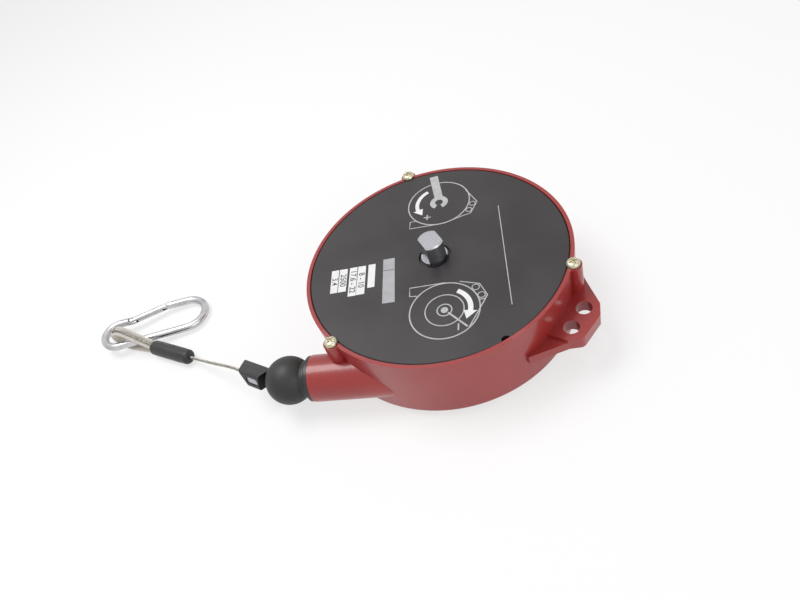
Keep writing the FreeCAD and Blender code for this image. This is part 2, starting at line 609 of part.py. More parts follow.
def make_drum():
    """Conical drum with one groove per turn outside and the spring chamber inside."""
    body = new_body("rope_drum")
    turns = int(size("groove_count"))
    depth = "(0.5 * rope_diameter + fit_gap)"
    section = [
        (DRUM_BUSH, "drum_bottom"), ("small_flange_radius", "drum_bottom"),
        ("small_flange_radius", "drum_bottom + drum_web"),
        (rope_radius(-0.5) + " - 0.2 * rope_diameter", rope_height(-0.9))]
    for turn in range(turns):
        section += [
            (rope_radius(turn - 0.5) + " - 0.2 * rope_diameter", rope_height(turn - 0.5)),
            (rope_radius(turn) + " - " + depth, rope_height(turn))]
    section += [
        (rope_radius(turns - 0.5) + " - 0.2 * rope_diameter", rope_height(turns - 0.5)),
        (LARGE_FLANGE, rope_height(turns - 0.3)), (LARGE_FLANGE, DRUM_TOP),
        ("spring_chamber_radius + cover_seat", DRUM_TOP),
        ("spring_chamber_radius + cover_seat", CHAMBER_TOP), ("spring_chamber_radius", CHAMBER_TOP),
        ("spring_chamber_radius", CHAMBER_FLOOR), ("drum_hub_radius", CHAMBER_FLOOR),
        ("drum_hub_radius", "drum_bottom + drum_web + 1"), (DRUM_BUSH, "drum_bottom + drum_web + 1")]
    turned(body, "Drum", section)
    rib = outline(new_sketch(body, "CatchRibSection", "XY_Plane", CHAMBER_FLOOR), [
        ("-spring_chamber_radius - 0.5", "-0.5 * spring_strip - fit_gap - catch_rib"),
        ("-spring_outer_radius - 0.5 * spring_strip - fit_gap",
         "-0.5 * spring_strip - fit_gap - catch_rib"),
        ("-spring_outer_radius - 0.5 * spring_strip - fit_gap", "-0.5 * spring_strip - fit_gap"),
        ("-spring_chamber_radius - 0.5", "-0.5 * spring_strip - fit_gap")])
    pad(body, "CatchRib", rib, "chamber_depth")
    anchor = circle(new_sketch(body, "AnchorSection", "XY_Plane", DRUM_TOP), "rope_diameter + fit_gap",
                    "0", "-(" + LARGE_FLANGE + " - 12)")
    pocket(body, "RopeAnchorPocket", anchor, "4")
    hole = circle(new_sketch(body, "SpringScrewSection", "XY_Plane", DRUM_TOP), "spring_screw_radius",
                  *polar(SPRING_SCREWS, "30"))
    ring_pattern(body, pocket(body, "SpringScrewHole", hole, "6.5"), "4", "SpringScrewHoles")


def make_windings():
    """The wound rope: one ridge per turn, lying in the grooves of the drum."""
    body = new_body("rope_windings")
    turns = int(size("groove_count"))
    outer = []
    inner = []
    for turn in range(turns):
        if turn:
            outer += [(rope_radius(turn - 0.5) + " + 0.1 * rope_diameter", rope_height(turn - 0.5))]
            inner += [(rope_radius(turn - 0.5) + " - 0.2 * rope_diameter + 0.1",
                       rope_height(turn - 0.5))]
        outer += [(rope_radius(turn) + " + 0.5 * rope_diameter", rope_height(turn))]
        inner += [(rope_radius(turn) + " - 0.5 * rope_diameter", rope_height(turn))]
    foot = (rope_radius(0) + " - 0.1 * rope_diameter", rope_height(0) + " - 0.45 * rope_diameter")
    head = (rope_radius(turns - 1) + " + 0.1 * rope_diameter",
            rope_height(turns - 1) + " + 0.45 * rope_diameter")
    turned(body, "Coils", [foot] + outer + [head] + inner[::-1])


def make_rope_anchor():
    body = new_body("rope_anchor")
    stop = circle(new_sketch(body, "StopSection", "XY_Plane", DRUM_TOP + " - 4"),
                  "rope_diameter", "0", "-(" + LARGE_FLANGE + " - 12)")
    pad(body, "Stop", stop, "3.6")


def make_spring_cover():
    body = new_body("spring_cover")
    turned(body, "Plate", [
        (DRUM_BUSH, CHAMBER_TOP), ("spring_chamber_radius + cover_seat - fit_gap", CHAMBER_TOP),
        ("spring_chamber_radius + cover_seat - fit_gap", DRUM_TOP), (DRUM_BUSH, DRUM_TOP)])


def spiral_edge(shift):
    """Half-turn arcs of the spring's spiral, moved outward by a shift."""
    coils = int(size("spring_coils"))
    growth = (size("spring_outer_radius") - size("spring_inner_radius")) / coils
    edges = []
    radius = size("spring_inner_radius") + shift
    x = -radius
    side = 1
    for half in range(2 * coils):
        centre = x + side * radius
        middle = Vector(centre, side * radius, 0)
        edges.append(Part.Arc(Vector(x, 0, 0), middle, Vector(centre + side * radius, 0, 0)).toShape())
        x = centre + side * radius
        radius += growth / 2
        side = -side
    return edges


def make_mainspring():
    """Spiral strip: hooked through the shaft's slot inside, riveted to the drum outside."""
    half = size("spring_strip") / 2
    inner = spiral_edge(-half)
    outer = spiral_edge(half)
    first = Part.makeLine(inner[0].valueAt(inner[0].FirstParameter),
                          outer[0].valueAt(outer[0].FirstParameter))
    last = Part.makeLine(inner[-1].valueAt(inner[-1].LastParameter),
                         outer[-1].valueAt(outer[-1].LastParameter))
    wire = Part.Wire(Part.__sortEdges__(inner + outer + [first, last]))
    width = size("spring_width")
    tang = Part.makeBox(size("spring_inner_radius") + half - 3, 2 * half, width,
                        Vector(-size("spring_inner_radius") - half, -half, 0))
    hook = Part.makeBox(3 + 2 * half, 2 * half, width,
                        Vector(-size("spring_outer_radius") - half - 3, -half, 0))
    strip = Part.Face(wire).extrude(Vector(0, 0, width)).fuse([tang, hook]).removeSplitter()
    floor = size("drum_bottom") + size("drum_web") + (size("chamber_depth") - size("spring_width")) / 2
    plain_part("mainspring", strip, Placement(Vector(0, 0, floor), Rotation()))


# ---------------------------------------------------------------- rope guide and stop ball

def nozzle_spot():
    return ("0", "-nozzle_offset", "nozzle_height")


def make_rope_guide():
    """Guide bush pressed in the nozzle: spigot, collar, ball seat and flared rope hole."""
    body = new_body("rope_guide", nozzle_spot(), NOZZLE_LINE)
    face = "(nozzle_end + guide_collar)"
    lip = "(nozzle_end + guide_collar + guide_lip)"
    turned(body, "Guide", [
        ("rope_passage + 2", "nozzle_end - guide_spigot"), ("nozzle_bore", "nozzle_end - guide_spigot"),
        ("nozzle_bore", "nozzle_end"), ("nozzle_radius - 0.5", "nozzle_end"),
        ("nozzle_radius - 0.5", face + " - 0.6"), ("nozzle_radius - 1.1", face),
        ("guide_lip_radius", face), ("guide_lip_radius", lip), ("rope_passage", lip),
        ("rope_passage", "nozzle_end - guide_spigot + 4")])


def make_ball():
    """Rubber stop ball, cut flat towards the guide and bored for the rope."""
    radius = size("ball_radius")
    centre = size("ball_centre")
    seat = size("nozzle_end") + size("guide_collar") + size("guide_lip") + size("fit_gap")
    passage = size("rope_passage")
    low = seat - centre
    ball = Part.makeSphere(radius, Vector(), Vector(0, 0, 1), -90, 90, 360)
    ball = ball.cut(Part.makeCylinder(radius + 1, radius, Vector(0, 0, low - radius)))
    neck = Part.makeCylinder(size("guide_lip_radius") - 0.6, 4, Vector(0, 0, low))
    ball = ball.fuse(neck).removeSplitter()
    ball = ball.cut(Part.makeCylinder(passage, 3 * radius, Vector(0, 0, -1.5 * radius)))
    mouth = Part.makeCone(passage, 3 * passage, radius * 0.5, Vector(0, 0, radius * 0.5))
    ball = ball.cut(mouth)
    plain_part("stop_ball", ball, along_nozzle(centre))


def along_nozzle(distance):
    """Placement on the nozzle axis, local Z pointing out of the nozzle."""
    return Placement(Vector(-distance, -size("nozzle_offset"), size("nozzle_height")), NOZZLE_LINE)


# ---------------------------------------------------------------- rope, clamp and sleeve

# The rope outside the ball, point by point: it bends as it leaves the ball, runs straight through
# the clamp and sinks to the sleeve, which lies on the same surface as the housing.
BEND = Vector(-125.5, -74.3, 27.1)
CLAMP_END = Vector(-157.6, -58.4, 24.2)
CLAMP_RUN = 8.0
TAIL_SAG = Vector(-187.5, -43.2, 14.6)
SLEEVE_START = Vector(-217.0, -28.6, 6.5)
SLEEVE_WAY = Vector(-0.9355, 0.3535, 0.0)
THIMBLE_YAW = 6.0
THIMBLE_RISE = 16.0


def line_placement(origin, way, roll):
    """Placement with local Z along the way and a roll about it; roll 0 keeps local X level."""
    way = Vector(way).normalize()
    level = Vector(0, 0, 1).cross(way).normalize()
    up = way.cross(level)
    matrix = FreeCAD.Matrix(
        level.x, up.x, way.x, 0, level.y, up.y, way.y, 0, level.z, up.z, way.z, 0, 0, 0, 0, 1)
    turn = Placement(matrix).Rotation
    return Placement(origin, turn.multiply(Rotation(Vector(0, 0, 1), roll)))


def make_load_rope():
    """Rope from the drum's tangent point through guide, ball and clamp."""
    tangent = Vector(-0.28 * size("nozzle_offset"), -size("nozzle_offset"), size("nozzle_height"))
    corner = Vector(BEND.x, -size("nozzle_offset"), size("nozzle_height"))
    path = rounded_path([tangent, corner, CLAMP_END], [5 * size("rope_diameter")])
    plain_part("load_rope", tube(path, size("rope_diameter") / 2))


def make_rope_tail():
    """Free stretch of rope between the clamp and the sleeve."""
    corner = Vector(BEND.x, -size("nozzle_offset"), size("nozzle_height"))
    outside = CLAMP_END + (CLAMP_END - corner).normalize() * CLAMP_RUN
    points = [CLAMP_END, outside, TAIL_SAG, SLEEVE_START]
    radii = [arc_radius(*points[:3]), arc_radius(*points[1:])]
    path = rounded_path(points, radii)
    rope = tube(path, size("rope_diameter") / 2)
    print("rope tail: length %.1f, arc radii %.0f and %.0f, volume ratio %.4f" % (
        path.Length, radii[0], radii[1],
        rope.Volume / (math.pi * size("rope_diameter") ** 2 / 4 * path.Length)))
    plain_part("rope_tail", rope)


def arc_radius(before, corner, after):
    """Largest arc that 0.45 of the shorter run allows."""
    back = before - corner
    ahead = after - corner
    turn = math.pi - back.getAngle(ahead)
    return 0.45 * min(back.Length, ahead.Length) / math.tan(turn / 2)


def clamp_placement():
    corner = Vector(BEND.x, -size("nozzle_offset"), size("nozzle_height"))
    way = CLAMP_END - corner
    start = CLAMP_END - way * ((size("clamp_length") + size("fit_gap")) / way.Length)
    return line_placement(start, way, size("clamp_roll"))


def make_clamp():
    """Two plastic halves round the rope with a slanted nose, and a steel jaw in the near half."""
    length = size("clamp_length")
    width = size("clamp_width")
    height = size("clamp_height")
    rope = size("rope_diameter") / 2
    gap = size("fit_gap")
    block = Part.makeBox(width, height, length, Vector(-width / 2, -0.45 * height, 0))
    long_edges = [edge for edge in block.Edges if edge.BoundBox.ZLength > 1]
    block = block.makeFillet(size("clamp_round"), long_edges)
    nose = Vector(math.tan(math.radians(size("clamp_nose_yaw"))),
                  -math.tan(math.radians(size("clamp_nose_drop"))), 1)
    cutter = Part.makeBox(4 * length, 4 * length, 4 * length, Vector(-2 * length, -2 * length, 0))
    corner = Vector(-width / 2, 0.55 * height, length)
    cutter.Placement = Placement(corner, Rotation(Vector(0, 0, 1), nose))
    block = block.cut(cutter)
    on_nose = [edge for edge in block.Edges
               if all(abs((vertex.Point - corner).dot(nose)) < 1e-4 for vertex in edge.Vertexes)]
    block = block.makeFillet(size("clamp_nose_round"), on_nose)
    block = block.cut(Part.makeCylinder(rope + gap / 2, 3 * length, Vector(0, 0, -length)))
    half = Part.makeBox(2 * width, 4 * height, 2 * length, Vector(gap / 6, -2 * height, -length / 2))
    near = block.common(half)
    far = block.common(half.translated(Vector(-2 * width - gap / 3, 0, 0)))
    window = slot_bar(size("jaw_length"), size("jaw_width"), width)
    seat = Vector(rope + 1, 0.05 * height, 0.24 * length)
    near = near.cut(window.translated(seat))
    jaw = slot_bar(size("jaw_length") - 2 * gap, size("jaw_width") - 2 * gap, width / 2 - rope - 1.8)
    place = clamp_placement()
    plain_part("clamp_half_near", near, place)
    plain_part("clamp_half_far", far, place)
    plain_part("clamp_jaw", jaw.translated(seat), place)


def slot_bar(length, width, depth):
    """Round-ended bar: length along Z, width along Y, depth along X from the origin."""
    half = (length - width) / 2
    middle = Part.makeBox(depth, width, length - width, Vector(0, -width / 2, -half))
    ends = [Part.makeCylinder(width / 2, depth, Vector(0, 0, shift), Vector(1, 0, 0))
            for shift in (-half, half)]
    return middle.fuse(ends).removeSplitter()


def make_sleeve():
    """Black sleeve with a rounded rope end over the pressed ferrule."""
    place = line_placement(SLEEVE_START, SLEEVE_WAY, 0)
    radius = size("sleeve_radius")
    length = size("sleeve_length")
    gap = size("fit_gap")
    cap = 0.55 * radius
    outline_points = [Vector(size("rope_diameter") / 2, 0, 0), Vector(radius - cap, 0, 0)]
    arc = Part.Arc(outline_points[1], Vector(radius - cap * 0.293, 0, cap * 0.293),
                   Vector(radius, 0, cap)).toShape()
    inner = size("ferrule_radius") + gap / 2
    edges = [Part.makeLine(*outline_points), arc]
    loop = [Vector(radius, 0, cap), Vector(radius, 0, length), Vector(inner, 0, length),
            Vector(inner, 0, 8), Vector(size("rope_diameter") / 2, 0, 8), outline_points[0]]
    edges += [Part.makeLine(a, b) for a, b in zip(loop, loop[1:])]
    sleeve = Part.Face(Part.Wire(edges)).revolve(Vector(), Vector(0, 0, 1), 360)
    plain_part("rope_sleeve", sleeve, place)
    ferrule = Part.makeCylinder(size("ferrule_radius"), length - 9, Vector(0, 0, 8.5))
    plain_part("rope_ferrule", ferrule, place)


# ---------------------------------------------------------------- thimble and snap hook

def teardrop(centre, radius, tip):
    """Face with a round end about (0, centre) and a tip at (0, tip) before it, in the XZ plane."""
    reach = centre - tip
    lean = math.asin(radius / reach)
    x = radius * math.cos(lean)
    z = centre - radius * math.sin(lean)
    arc = Part.Arc(Vector(-x, 0, z), Vector(0, 0, centre + radius), Vector(x, 0, z)).toShape()
    point = Vector(0, 0, tip)
    return Part.Face(Part.Wire([Part.makeLine(point, Vector(-x, 0, z)), arc,
                                Part.makeLine(Vector(x, 0, z), point)]))


def slab(face, width, shift=0.0):
    solid = face.extrude(Vector(0, width, 0))
    solid.translate(Vector(0, shift - width / 2, 0))
    return solid


def make_thimble():
    """Grooved teardrop ring and the rope eye that lies in its groove."""
    length = size("thimble_length")
    radius = size("thimble_radius")
    band = size("thimble_band")
    rope = size("rope_diameter") / 2
    gap = size("fit_gap")
    centre = length - radius
    outer = slab(teardrop(centre, radius, -8), size("thimble_width"))
    opening = slab(teardrop(centre, radius - band, 3.5), 3 * radius)
    ring = outer.cut(opening)
    ring = ring.common(Part.makeBox(4 * radius, 4 * radius, 2 * length, Vector(-2 * radius, -2 * radius, 2)))
    core = slab(teardrop(centre, radius - 1.3 * rope - gap, -6), 2 * rope + gap)
    groove = slab(teardrop(centre, radius + 4, -16), 2 * rope + gap).cut(core)
    ring = ring.cut(groove)
    eye = slab(teardrop(centre, radius - 0.3 * rope, -7), 2 * rope)
    eye = eye.cut(slab(teardrop(centre, radius - 1.3 * rope, -6), 3 * radius))
    eye = eye.common(Part.makeBox(4 * radius, 4 * radius, 2 * length, Vector(-2 * radius, -2 * radius, 1.2)))
    place = thimble_placement()
    plain_part("thimble", ring, place)
    plain_part("rope_eye", eye, place)


def thimble_placement():
    end = SLEEVE_START + SLEEVE_WAY * size("sleeve_length")
    way = Rotation(Vector(0, 0, 1), THIMBLE_YAW).multVec(SLEEVE_WAY)
    way.z = math.tan(math.radians(THIMBLE_RISE))
    return line_placement(end, way, size("thimble_roll"))


# Snap hook: local X runs from its small end to its bow, local Y to the gate side.
HOOK_ORIGIN = Vector(-311.0, -0.2, 11.7)
HOOK_YAW = 14.5
HOOK_PITCH = 4.76


def hook_placement():
    turn = Rotation(Vector(0, 0, 1), HOOK_YAW).multiply(Rotation(Vector(0, 1, 0), HOOK_PITCH))
    return Placement(HOOK_ORIGIN, turn)


def hook_points():
    """Corner points and radii of the wire's centreline from the gate pivot to the nose."""
    wire = size("hook_wire")
    eye = size("hook_eye_radius")
    bow = size("hook_bow_radius")
    left = wire / 2
    right = size("hook_length") - wire / 2
    top = 10.5
    corners = [Vector(27.5, top, 0), Vector(left, top, 0), Vector(left, top - 2 * eye, 0),
               Vector(27, top - 2 * eye, 0), Vector(40, -10.3, 0), Vector(right, -17.0, 0),
               Vector(right, -17.0 + 2.2 * bow, 0), Vector(57.5, 18.6, 0)]
    return corners, [eye - 0.01, eye - 0.01, 7, 12, bow - 0.5, bow - 0.5]


def make_hook():
    """Bent round wire with a flat tongue at the gate pivot and a narrow catch at the nose."""
    corners, radii = hook_points()
    radius = size("hook_wire") / 2
    flat = size("tongue_thickness")
    gap = size("fit_gap")
    pivot = corners[0]
    nose = corners[-1]
    beyond = nose + (nose - corners[-2]).normalize() * radius
    wire = tube(rounded_path(corners[:-1] + [beyond], radii), radius)
    wire = wire.cut(bar_box(nose, nose - pivot, -4 * radius, 4 * radius, 6 * radius, 4 * radius))
    back = (corners[0] - corners[1]).normalize()
    waste = bar_box(pivot, back, -radius - 4 * gap, 3 * radius, 3 * radius, 3 * radius)
    wire = wire.cut(waste.cut(bar_box(pivot, back, -3 * radius, 6 * radius, 4 * radius, flat)))
    wire = wire.fuse(Part.makeCylinder(radius, flat, pivot - Vector(0, 0, flat / 2)))
    wire = wire.cut(cross_bar(pivot, size("gate_pin_radius"), 4 * radius))
    catch = bar_box(nose, nose - pivot, -size("catch_length"), size("catch_length") + 1.5,
                    1.3 * radius, flat - 2 * gap)
    plain_part("snap_hook", wire.fuse(catch).removeSplitter(), hook_placement())


def make_gate():
    """Round gate: a fork on the pin at one end, a slot over the hook's catch at the other."""
    corners, radii = hook_points()
    radius = size("gate_diameter") / 2
    gap = size("fit_gap")
    slot = size("tongue_thickness") + gap
    pivot = corners[0]
    nose = corners[-1]
    way = nose - pivot
    heel = 0.85 * radius
    gate = Part.makeCylinder(radius, heel + way.Length - 2 * gap, pivot, way)
    gate.translate(way * (-heel / way.Length))
    gate = gate.cut(bar_box(pivot, way, -2 * radius, 2 * radius + size("hook_wire") / 2 + 2 * gap,
                            4 * radius, slot))
    gate = gate.cut(bar_box(nose, way, -size("catch_length") - gap, size("catch_length") + 2,
                            4 * radius, slot - 2 * gap))
    gate = gate.cut(cross_bar(pivot, size("gate_pin_radius") + size("running_gap"), 4 * radius))
    plain_part("hook_gate", gate.removeSplitter(), hook_placement())
    pin = cross_bar(pivot, size("gate_pin_radius"), 2 * radius + 0.4)
    plain_part("gate_pin", pin, hook_placement())


def bar_box(origin, way, start, length, width, height):
    """Box that runs along a way in the hook's plane, centred across it and on the plane."""
    box = Part.makeBox(length, width, height, Vector(start, -width / 2, -height / 2))
    box.Placement = Placement(origin, Rotation(Vector(1, 0, 0), way))
    return box


def cross_bar(centre, radius, length):
    return Part.makeCylinder(radius, length, centre - Vector(0, 0, length / 2))


make_housing()
make_cover()
screw_ring("cover_screws", SCREW_CIRCLE, "first_screw_angle", "3", "housing_depth",
           ("screw_head_radius", "screw_head_height"), ("(screw_radius - running_gap)", "screw_length"))
bush("front_bush", "wrench_radius + running_gap", "wrench_radius + running_gap + front_bush_wall",
     COVER_BACK + " - cover_hub_height", COVER_BACK + " + 2")
bush("back_bush", "back_journal_radius + running_gap",
     "back_journal_radius + running_gap + back_bush_wall", "back_skin", FLOOR)
make_shaft()
make_ratchet()
make_key()
make_pawl()
make_pawl_pin()
make_pawl_spring()
make_drum()
make_windings()
make_rope_anchor()
make_spring_cover()
screw_ring("spring_cover_screws", SPRING_SCREWS, "30", "4", DRUM_TOP,
           ("spring_screw_head", "2"), ("(spring_screw_radius - running_gap)", "6"))
bush("drum_bush_back", "shaft_radius + running_gap", DRUM_BUSH, "drum_bottom - 0.5",
     "drum_bottom + drum_web + 1")
bush("drum_bush_front", "shaft_radius + running_gap", DRUM_BUSH, CHAMBER_TOP, DRUM_TOP)
bush("ratchet_spacer", "shaft_radius + fit_gap", "shaft_radius + 4", RATCHET_TOP + " + fit_gap",
     "drum_bottom - 0.5 - fit_gap")
bush("thrust_washer", "shaft_radius + fit_gap", "drum_hub_radius", DRUM_TOP + " + fit_gap",
     WASHER_TOP + " - fit_gap")
make_mainspring()
make_rope_guide()
make_ball()
make_load_rope()
make_clamp()
make_rope_tail()
make_sleeve()
make_thimble()
make_hook()
make_gate()

document.recompute()
os.makedirs("parts", exist_ok=True)
for piece in document.Objects:
    if "Invalid" in piece.State or "Error" in piece.State:
        raise RuntimeError("%s failed: %s" % (piece.Label, piece.State))
for piece in PARTS:
    if piece.Shape.isNull() or not piece.Shape.isValid():
        raise RuntimeError(piece.Label + " has no valid shape")
    print("%-22s solids %d  volume %10.1f" % (piece.Label, len(piece.Shape.Solids), piece.Shape.Volume))
    piece.Shape.exportStep("parts/%s.step" % piece.Label)
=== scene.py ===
# %% [markdown]
# A spring tool balancer: a red cast housing with a black cover, a steel wrench head, a wire rope that
# leaves through a nozzle, and a snap hook.  The frame comes packed: each rigid part is already there at
# its place, so this file gives the parts their finish, adds the small details that only matter to the
# eye, and sets the light and the camera.

# %% Load the frame
import json
import math
import bmesh
import bpy
import numpy as np
from mathutils import Matrix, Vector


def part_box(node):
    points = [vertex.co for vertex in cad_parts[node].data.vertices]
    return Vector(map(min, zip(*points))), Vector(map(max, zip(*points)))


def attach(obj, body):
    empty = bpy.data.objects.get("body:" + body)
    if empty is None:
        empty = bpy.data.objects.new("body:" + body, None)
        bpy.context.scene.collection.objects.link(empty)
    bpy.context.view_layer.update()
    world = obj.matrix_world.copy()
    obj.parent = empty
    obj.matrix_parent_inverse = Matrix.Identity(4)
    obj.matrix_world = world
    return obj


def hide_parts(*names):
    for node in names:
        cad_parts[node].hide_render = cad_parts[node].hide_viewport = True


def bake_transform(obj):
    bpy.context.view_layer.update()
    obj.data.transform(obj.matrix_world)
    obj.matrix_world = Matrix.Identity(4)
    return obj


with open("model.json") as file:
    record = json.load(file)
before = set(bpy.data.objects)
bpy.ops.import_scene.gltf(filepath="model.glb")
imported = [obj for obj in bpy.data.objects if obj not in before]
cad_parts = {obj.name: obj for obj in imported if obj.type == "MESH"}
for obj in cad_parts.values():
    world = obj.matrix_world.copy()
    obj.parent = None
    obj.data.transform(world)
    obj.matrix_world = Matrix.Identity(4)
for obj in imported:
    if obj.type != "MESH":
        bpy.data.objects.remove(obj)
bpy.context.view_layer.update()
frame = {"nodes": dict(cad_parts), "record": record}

nodes = frame["nodes"]
scene = bpy.context.scene
MM = 0.001

# %% [markdown]
# The camera comes first, because everything after it is judged through it.  It looks down on the
# balancer as it lies on its back.  A camera looks along its own -Z with +Y up, so its matrix is made from
# the directions that are right, up and backward in the view.

# %% Camera
RIGHT = np.array([0.962, 0.085, -0.259])
FORWARD = np.array([-0.252, 0.644, -0.723])
CAMERA_PLACE = (0.094554, -0.337683, 0.396153)
LENS_LENGTH, SENSOR_WIDTH = 30.525, 36
right = RIGHT / np.linalg.norm(RIGHT)
forward = FORWARD - right * (FORWARD @ right)
forward /= np.linalg.norm(forward)
up = np.cross(right, forward)
view = Matrix.Identity(4)
for row in range(3):
    view[row][0], view[row][1], view[row][2] = right[row], up[row], -forward[row]
view.translation = CAMERA_PLACE
camera = bpy.data.objects.new("camera", bpy.data.cameras.new("camera"))
camera.data.lens = LENS_LENGTH
camera.data.sensor_width = SENSOR_WIDTH
camera.data.clip_start = 0.01
camera.matrix_world = view
scene.collection.objects.link(camera)
scene.camera = camera
print("camera at", [round(value, 3) for value in view.translation])

# %% [markdown]
# The floor is a plain pale sheet.  Seen by the camera or in a reflection it is part white light of its
# own, so it reads as a white studio table, and the other part is an ordinary matt surface that keeps the
# soft shadow.  Light Path tells the two kinds of ray apart.  Seen from below the sheet is clear, so that
# the balancer's back can be looked at too.

# %% Floor and world
FLOOR_GREY, FLOOR_WHITE, FLOOR_HALF, FLOOR_DEPTH = 0.94, 0.66, 6, -0.0004
AMBIENT_STRENGTH, WORLD_WHITE = 0.45, 0.9


def feed(tree, socket, value):
    """Joins value to socket where value is a socket too, and otherwise sets it as the socket's number."""
    if isinstance(value, bpy.types.NodeSocket):
        tree.links.new(value, socket)
    else:
        socket.default_value = value


def math_node(tree, operation, *values):
    """The output of a Math node that is fed these values in order."""
    node = tree.nodes.new("ShaderNodeMath")
    node.operation = operation
    for socket, value in zip(node.inputs, values):
        feed(tree, socket, value)
    return node.outputs[0]


def white_to_camera(tree, surface, share):
    """Mixes share of plain white light into surface, for camera, glossy and transmission rays only."""
    path = tree.nodes.new("ShaderNodeLightPath")
    seen = path.outputs["Is Camera Ray"]
    for ray in ("Is Glossy Ray", "Is Transmission Ray"):
        seen = math_node(tree, "MAXIMUM", seen, path.outputs[ray])
    white = tree.nodes.new("ShaderNodeEmission")
    mix = tree.nodes.new("ShaderNodeMixShader")
    tree.links.new(math_node(tree, "MULTIPLY", seen, share), mix.inputs[0])
    tree.links.new(surface, mix.inputs[1])
    tree.links.new(white.outputs[0], mix.inputs[2])
    return mix.outputs[0]


floor_finish = bpy.data.materials.new("studio_floor")
floor_finish.use_nodes = True
tree = floor_finish.node_tree
tree.nodes.clear()
matt = tree.nodes.new("ShaderNodeBsdfDiffuse")
matt.inputs["Color"].default_value = (FLOOR_GREY, FLOOR_GREY, FLOOR_GREY, 1)
out = tree.nodes.new("ShaderNodeOutputMaterial")
side_seen = tree.nodes.new("ShaderNodeNewGeometry")
clear = tree.nodes.new("ShaderNodeBsdfTransparent")
one_sided = tree.nodes.new("ShaderNodeMixShader")
tree.links.new(side_seen.outputs["Backfacing"], one_sided.inputs[0])
tree.links.new(white_to_camera(tree, matt.outputs[0], FLOOR_WHITE), one_sided.inputs[1])
tree.links.new(clear.outputs[0], one_sided.inputs[2])
tree.links.new(one_sided.outputs[0], out.inputs["Surface"])
floor_mesh = bpy.data.meshes.new("studio_floor")
corners = [(x * FLOOR_HALF, y * FLOOR_HALF, FLOOR_DEPTH) for x, y in ((-1, -1), (1, -1), (1, 1), (-1, 1))]
floor_mesh.from_pydata(corners, [], [(0, 1, 2, 3)])
floor_mesh.materials.append(floor_finish)
floor = bpy.data.objects.new("studio_floor", floor_mesh)
scene.collection.objects.link(floor)

world = bpy.data.worlds.new("studio")
scene.world = world
world.use_nodes = True
tree = world.node_tree
tree.nodes.clear()
ambient = tree.nodes.new("ShaderNodeBackground")
ambient.inputs["Color"].default_value = (1.0, 0.985, 0.985, 1)
ambient.inputs["Strength"].default_value = AMBIENT_STRENGTH
out = tree.nodes.new("ShaderNodeOutputWorld")
tree.links.new(white_to_camera(tree, ambient.outputs[0], WORLD_WHITE), out.inputs["Surface"])
print("floor", len(floor_mesh.polygons), "face")

# %% [markdown]
# Two wide lamps stand in for studio soft boxes.  A wide lamp has soft edges to its shadows, and a lamp
# that shows as a bright patch in gloss paint tells the eye that the paint is smooth.  The strips
# are narrow and weak: they light next to nothing, but gloss shows each one as a fine bright line.

# %% Lamps
scene.view_settings.view_transform = "Standard"


AIM = np.array((0, 0, 0.03))
STRIP_LENGTH, STRIP_WIDTH = 0.9, 0.02


def soft_box(name, place, wide, watts):
    """A square lamp at place, turned to look at the balancer."""
    lamp = bpy.data.objects.new(name, bpy.data.lights.new(name, "AREA"))
    lamp.data.size = wide
    lamp.data.energy = watts
    back = np.array(place) - AIM
    back /= np.linalg.norm(back)
    side = np.cross((0.0, 1.0, 0.1), back)
    side /= np.linalg.norm(side)
    top = np.cross(back, side)
    turn = Matrix.Identity(4)
    for row in range(3):
        turn[row][0], turn[row][1], turn[row][2] = side[row], top[row], back[row]
    turn.translation = place
    lamp.matrix_world = turn
    scene.collection.objects.link(lamp)
    return lamp


soft_box("key_box", (-0.45, 0.1, 1.1), 0.6, 8.0)
soft_box("fill_box", (0.9, -0.8, 0.7), 0.8, 5.2)
for name, place, watts in (("edge_strip", (-0.1, -0.26, 1.05), 0.35),
                           ("back_strip", (-0.1, 0.62, 0.95), 0.15)):
    strip = soft_box(name, place, STRIP_LENGTH, watts)
    strip.data.shape = "RECTANGLE"
    strip.data.size_y = STRIP_WIDTH

# %% [markdown]
# Every real finish varies a little: paint has orange peel, castings have grain, rubber has bloom.  One
# node group makes that variation for all of them.  It puts out a colour, a roughness and a height, and
# the shader itself stays in each material.

# %% Node group: lived_in_finish
def group_socket(group, name, way, kind, value=None):
    """A socket on the outside of a group, with a value to start from."""
    socket = group.interface.new_socket(name=name, in_out=way, socket_type=kind)
    if value is not None:
        socket.default_value = value


def noise_node(group, where, detail, scale):
    """A noise texture read at where; scale is a number or a socket."""
    noise = group.nodes.new("ShaderNodeTexNoise")
    noise.inputs["Detail"].default_value = detail
    feed(group, noise.inputs["Vector"], where)
    feed(group, noise.inputs["Scale"], scale)
    return noise.outputs["Fac"]


def sharpened(group, noise, low, high):
    """The noise between low and high stretched to 0..1."""
    stretch = group.nodes.new("ShaderNodeMapRange")
    stretch.inputs["From Min"].default_value = low
    stretch.inputs["From Max"].default_value = high
    feed(group, stretch.inputs["Value"], noise)
    return stretch.outputs["Result"]


finish_group = bpy.data.node_groups.new("lived_in_finish", "ShaderNodeTree")
group_socket(finish_group, "Color", "INPUT", "NodeSocketColor", (0.5, 0.5, 0.5, 1))
group_socket(finish_group, "Other Color", "INPUT", "NodeSocketColor", (0.4, 0.4, 0.4, 1))
group_socket(finish_group, "Blotch Scale", "INPUT", "NodeSocketFloat", 60.0)
group_socket(finish_group, "Grain Scale", "INPUT", "NodeSocketFloat", 900.0)
group_socket(finish_group, "Roughness", "INPUT", "NodeSocketFloat", 0.4)
group_socket(finish_group, "Roughness Spread", "INPUT", "NodeSocketFloat", 0.1)
group_socket(finish_group, "Color", "OUTPUT", "NodeSocketColor")
group_socket(finish_group, "Roughness", "OUTPUT", "NodeSocketFloat")
group_socket(finish_group, "Height", "OUTPUT", "NodeSocketFloat")

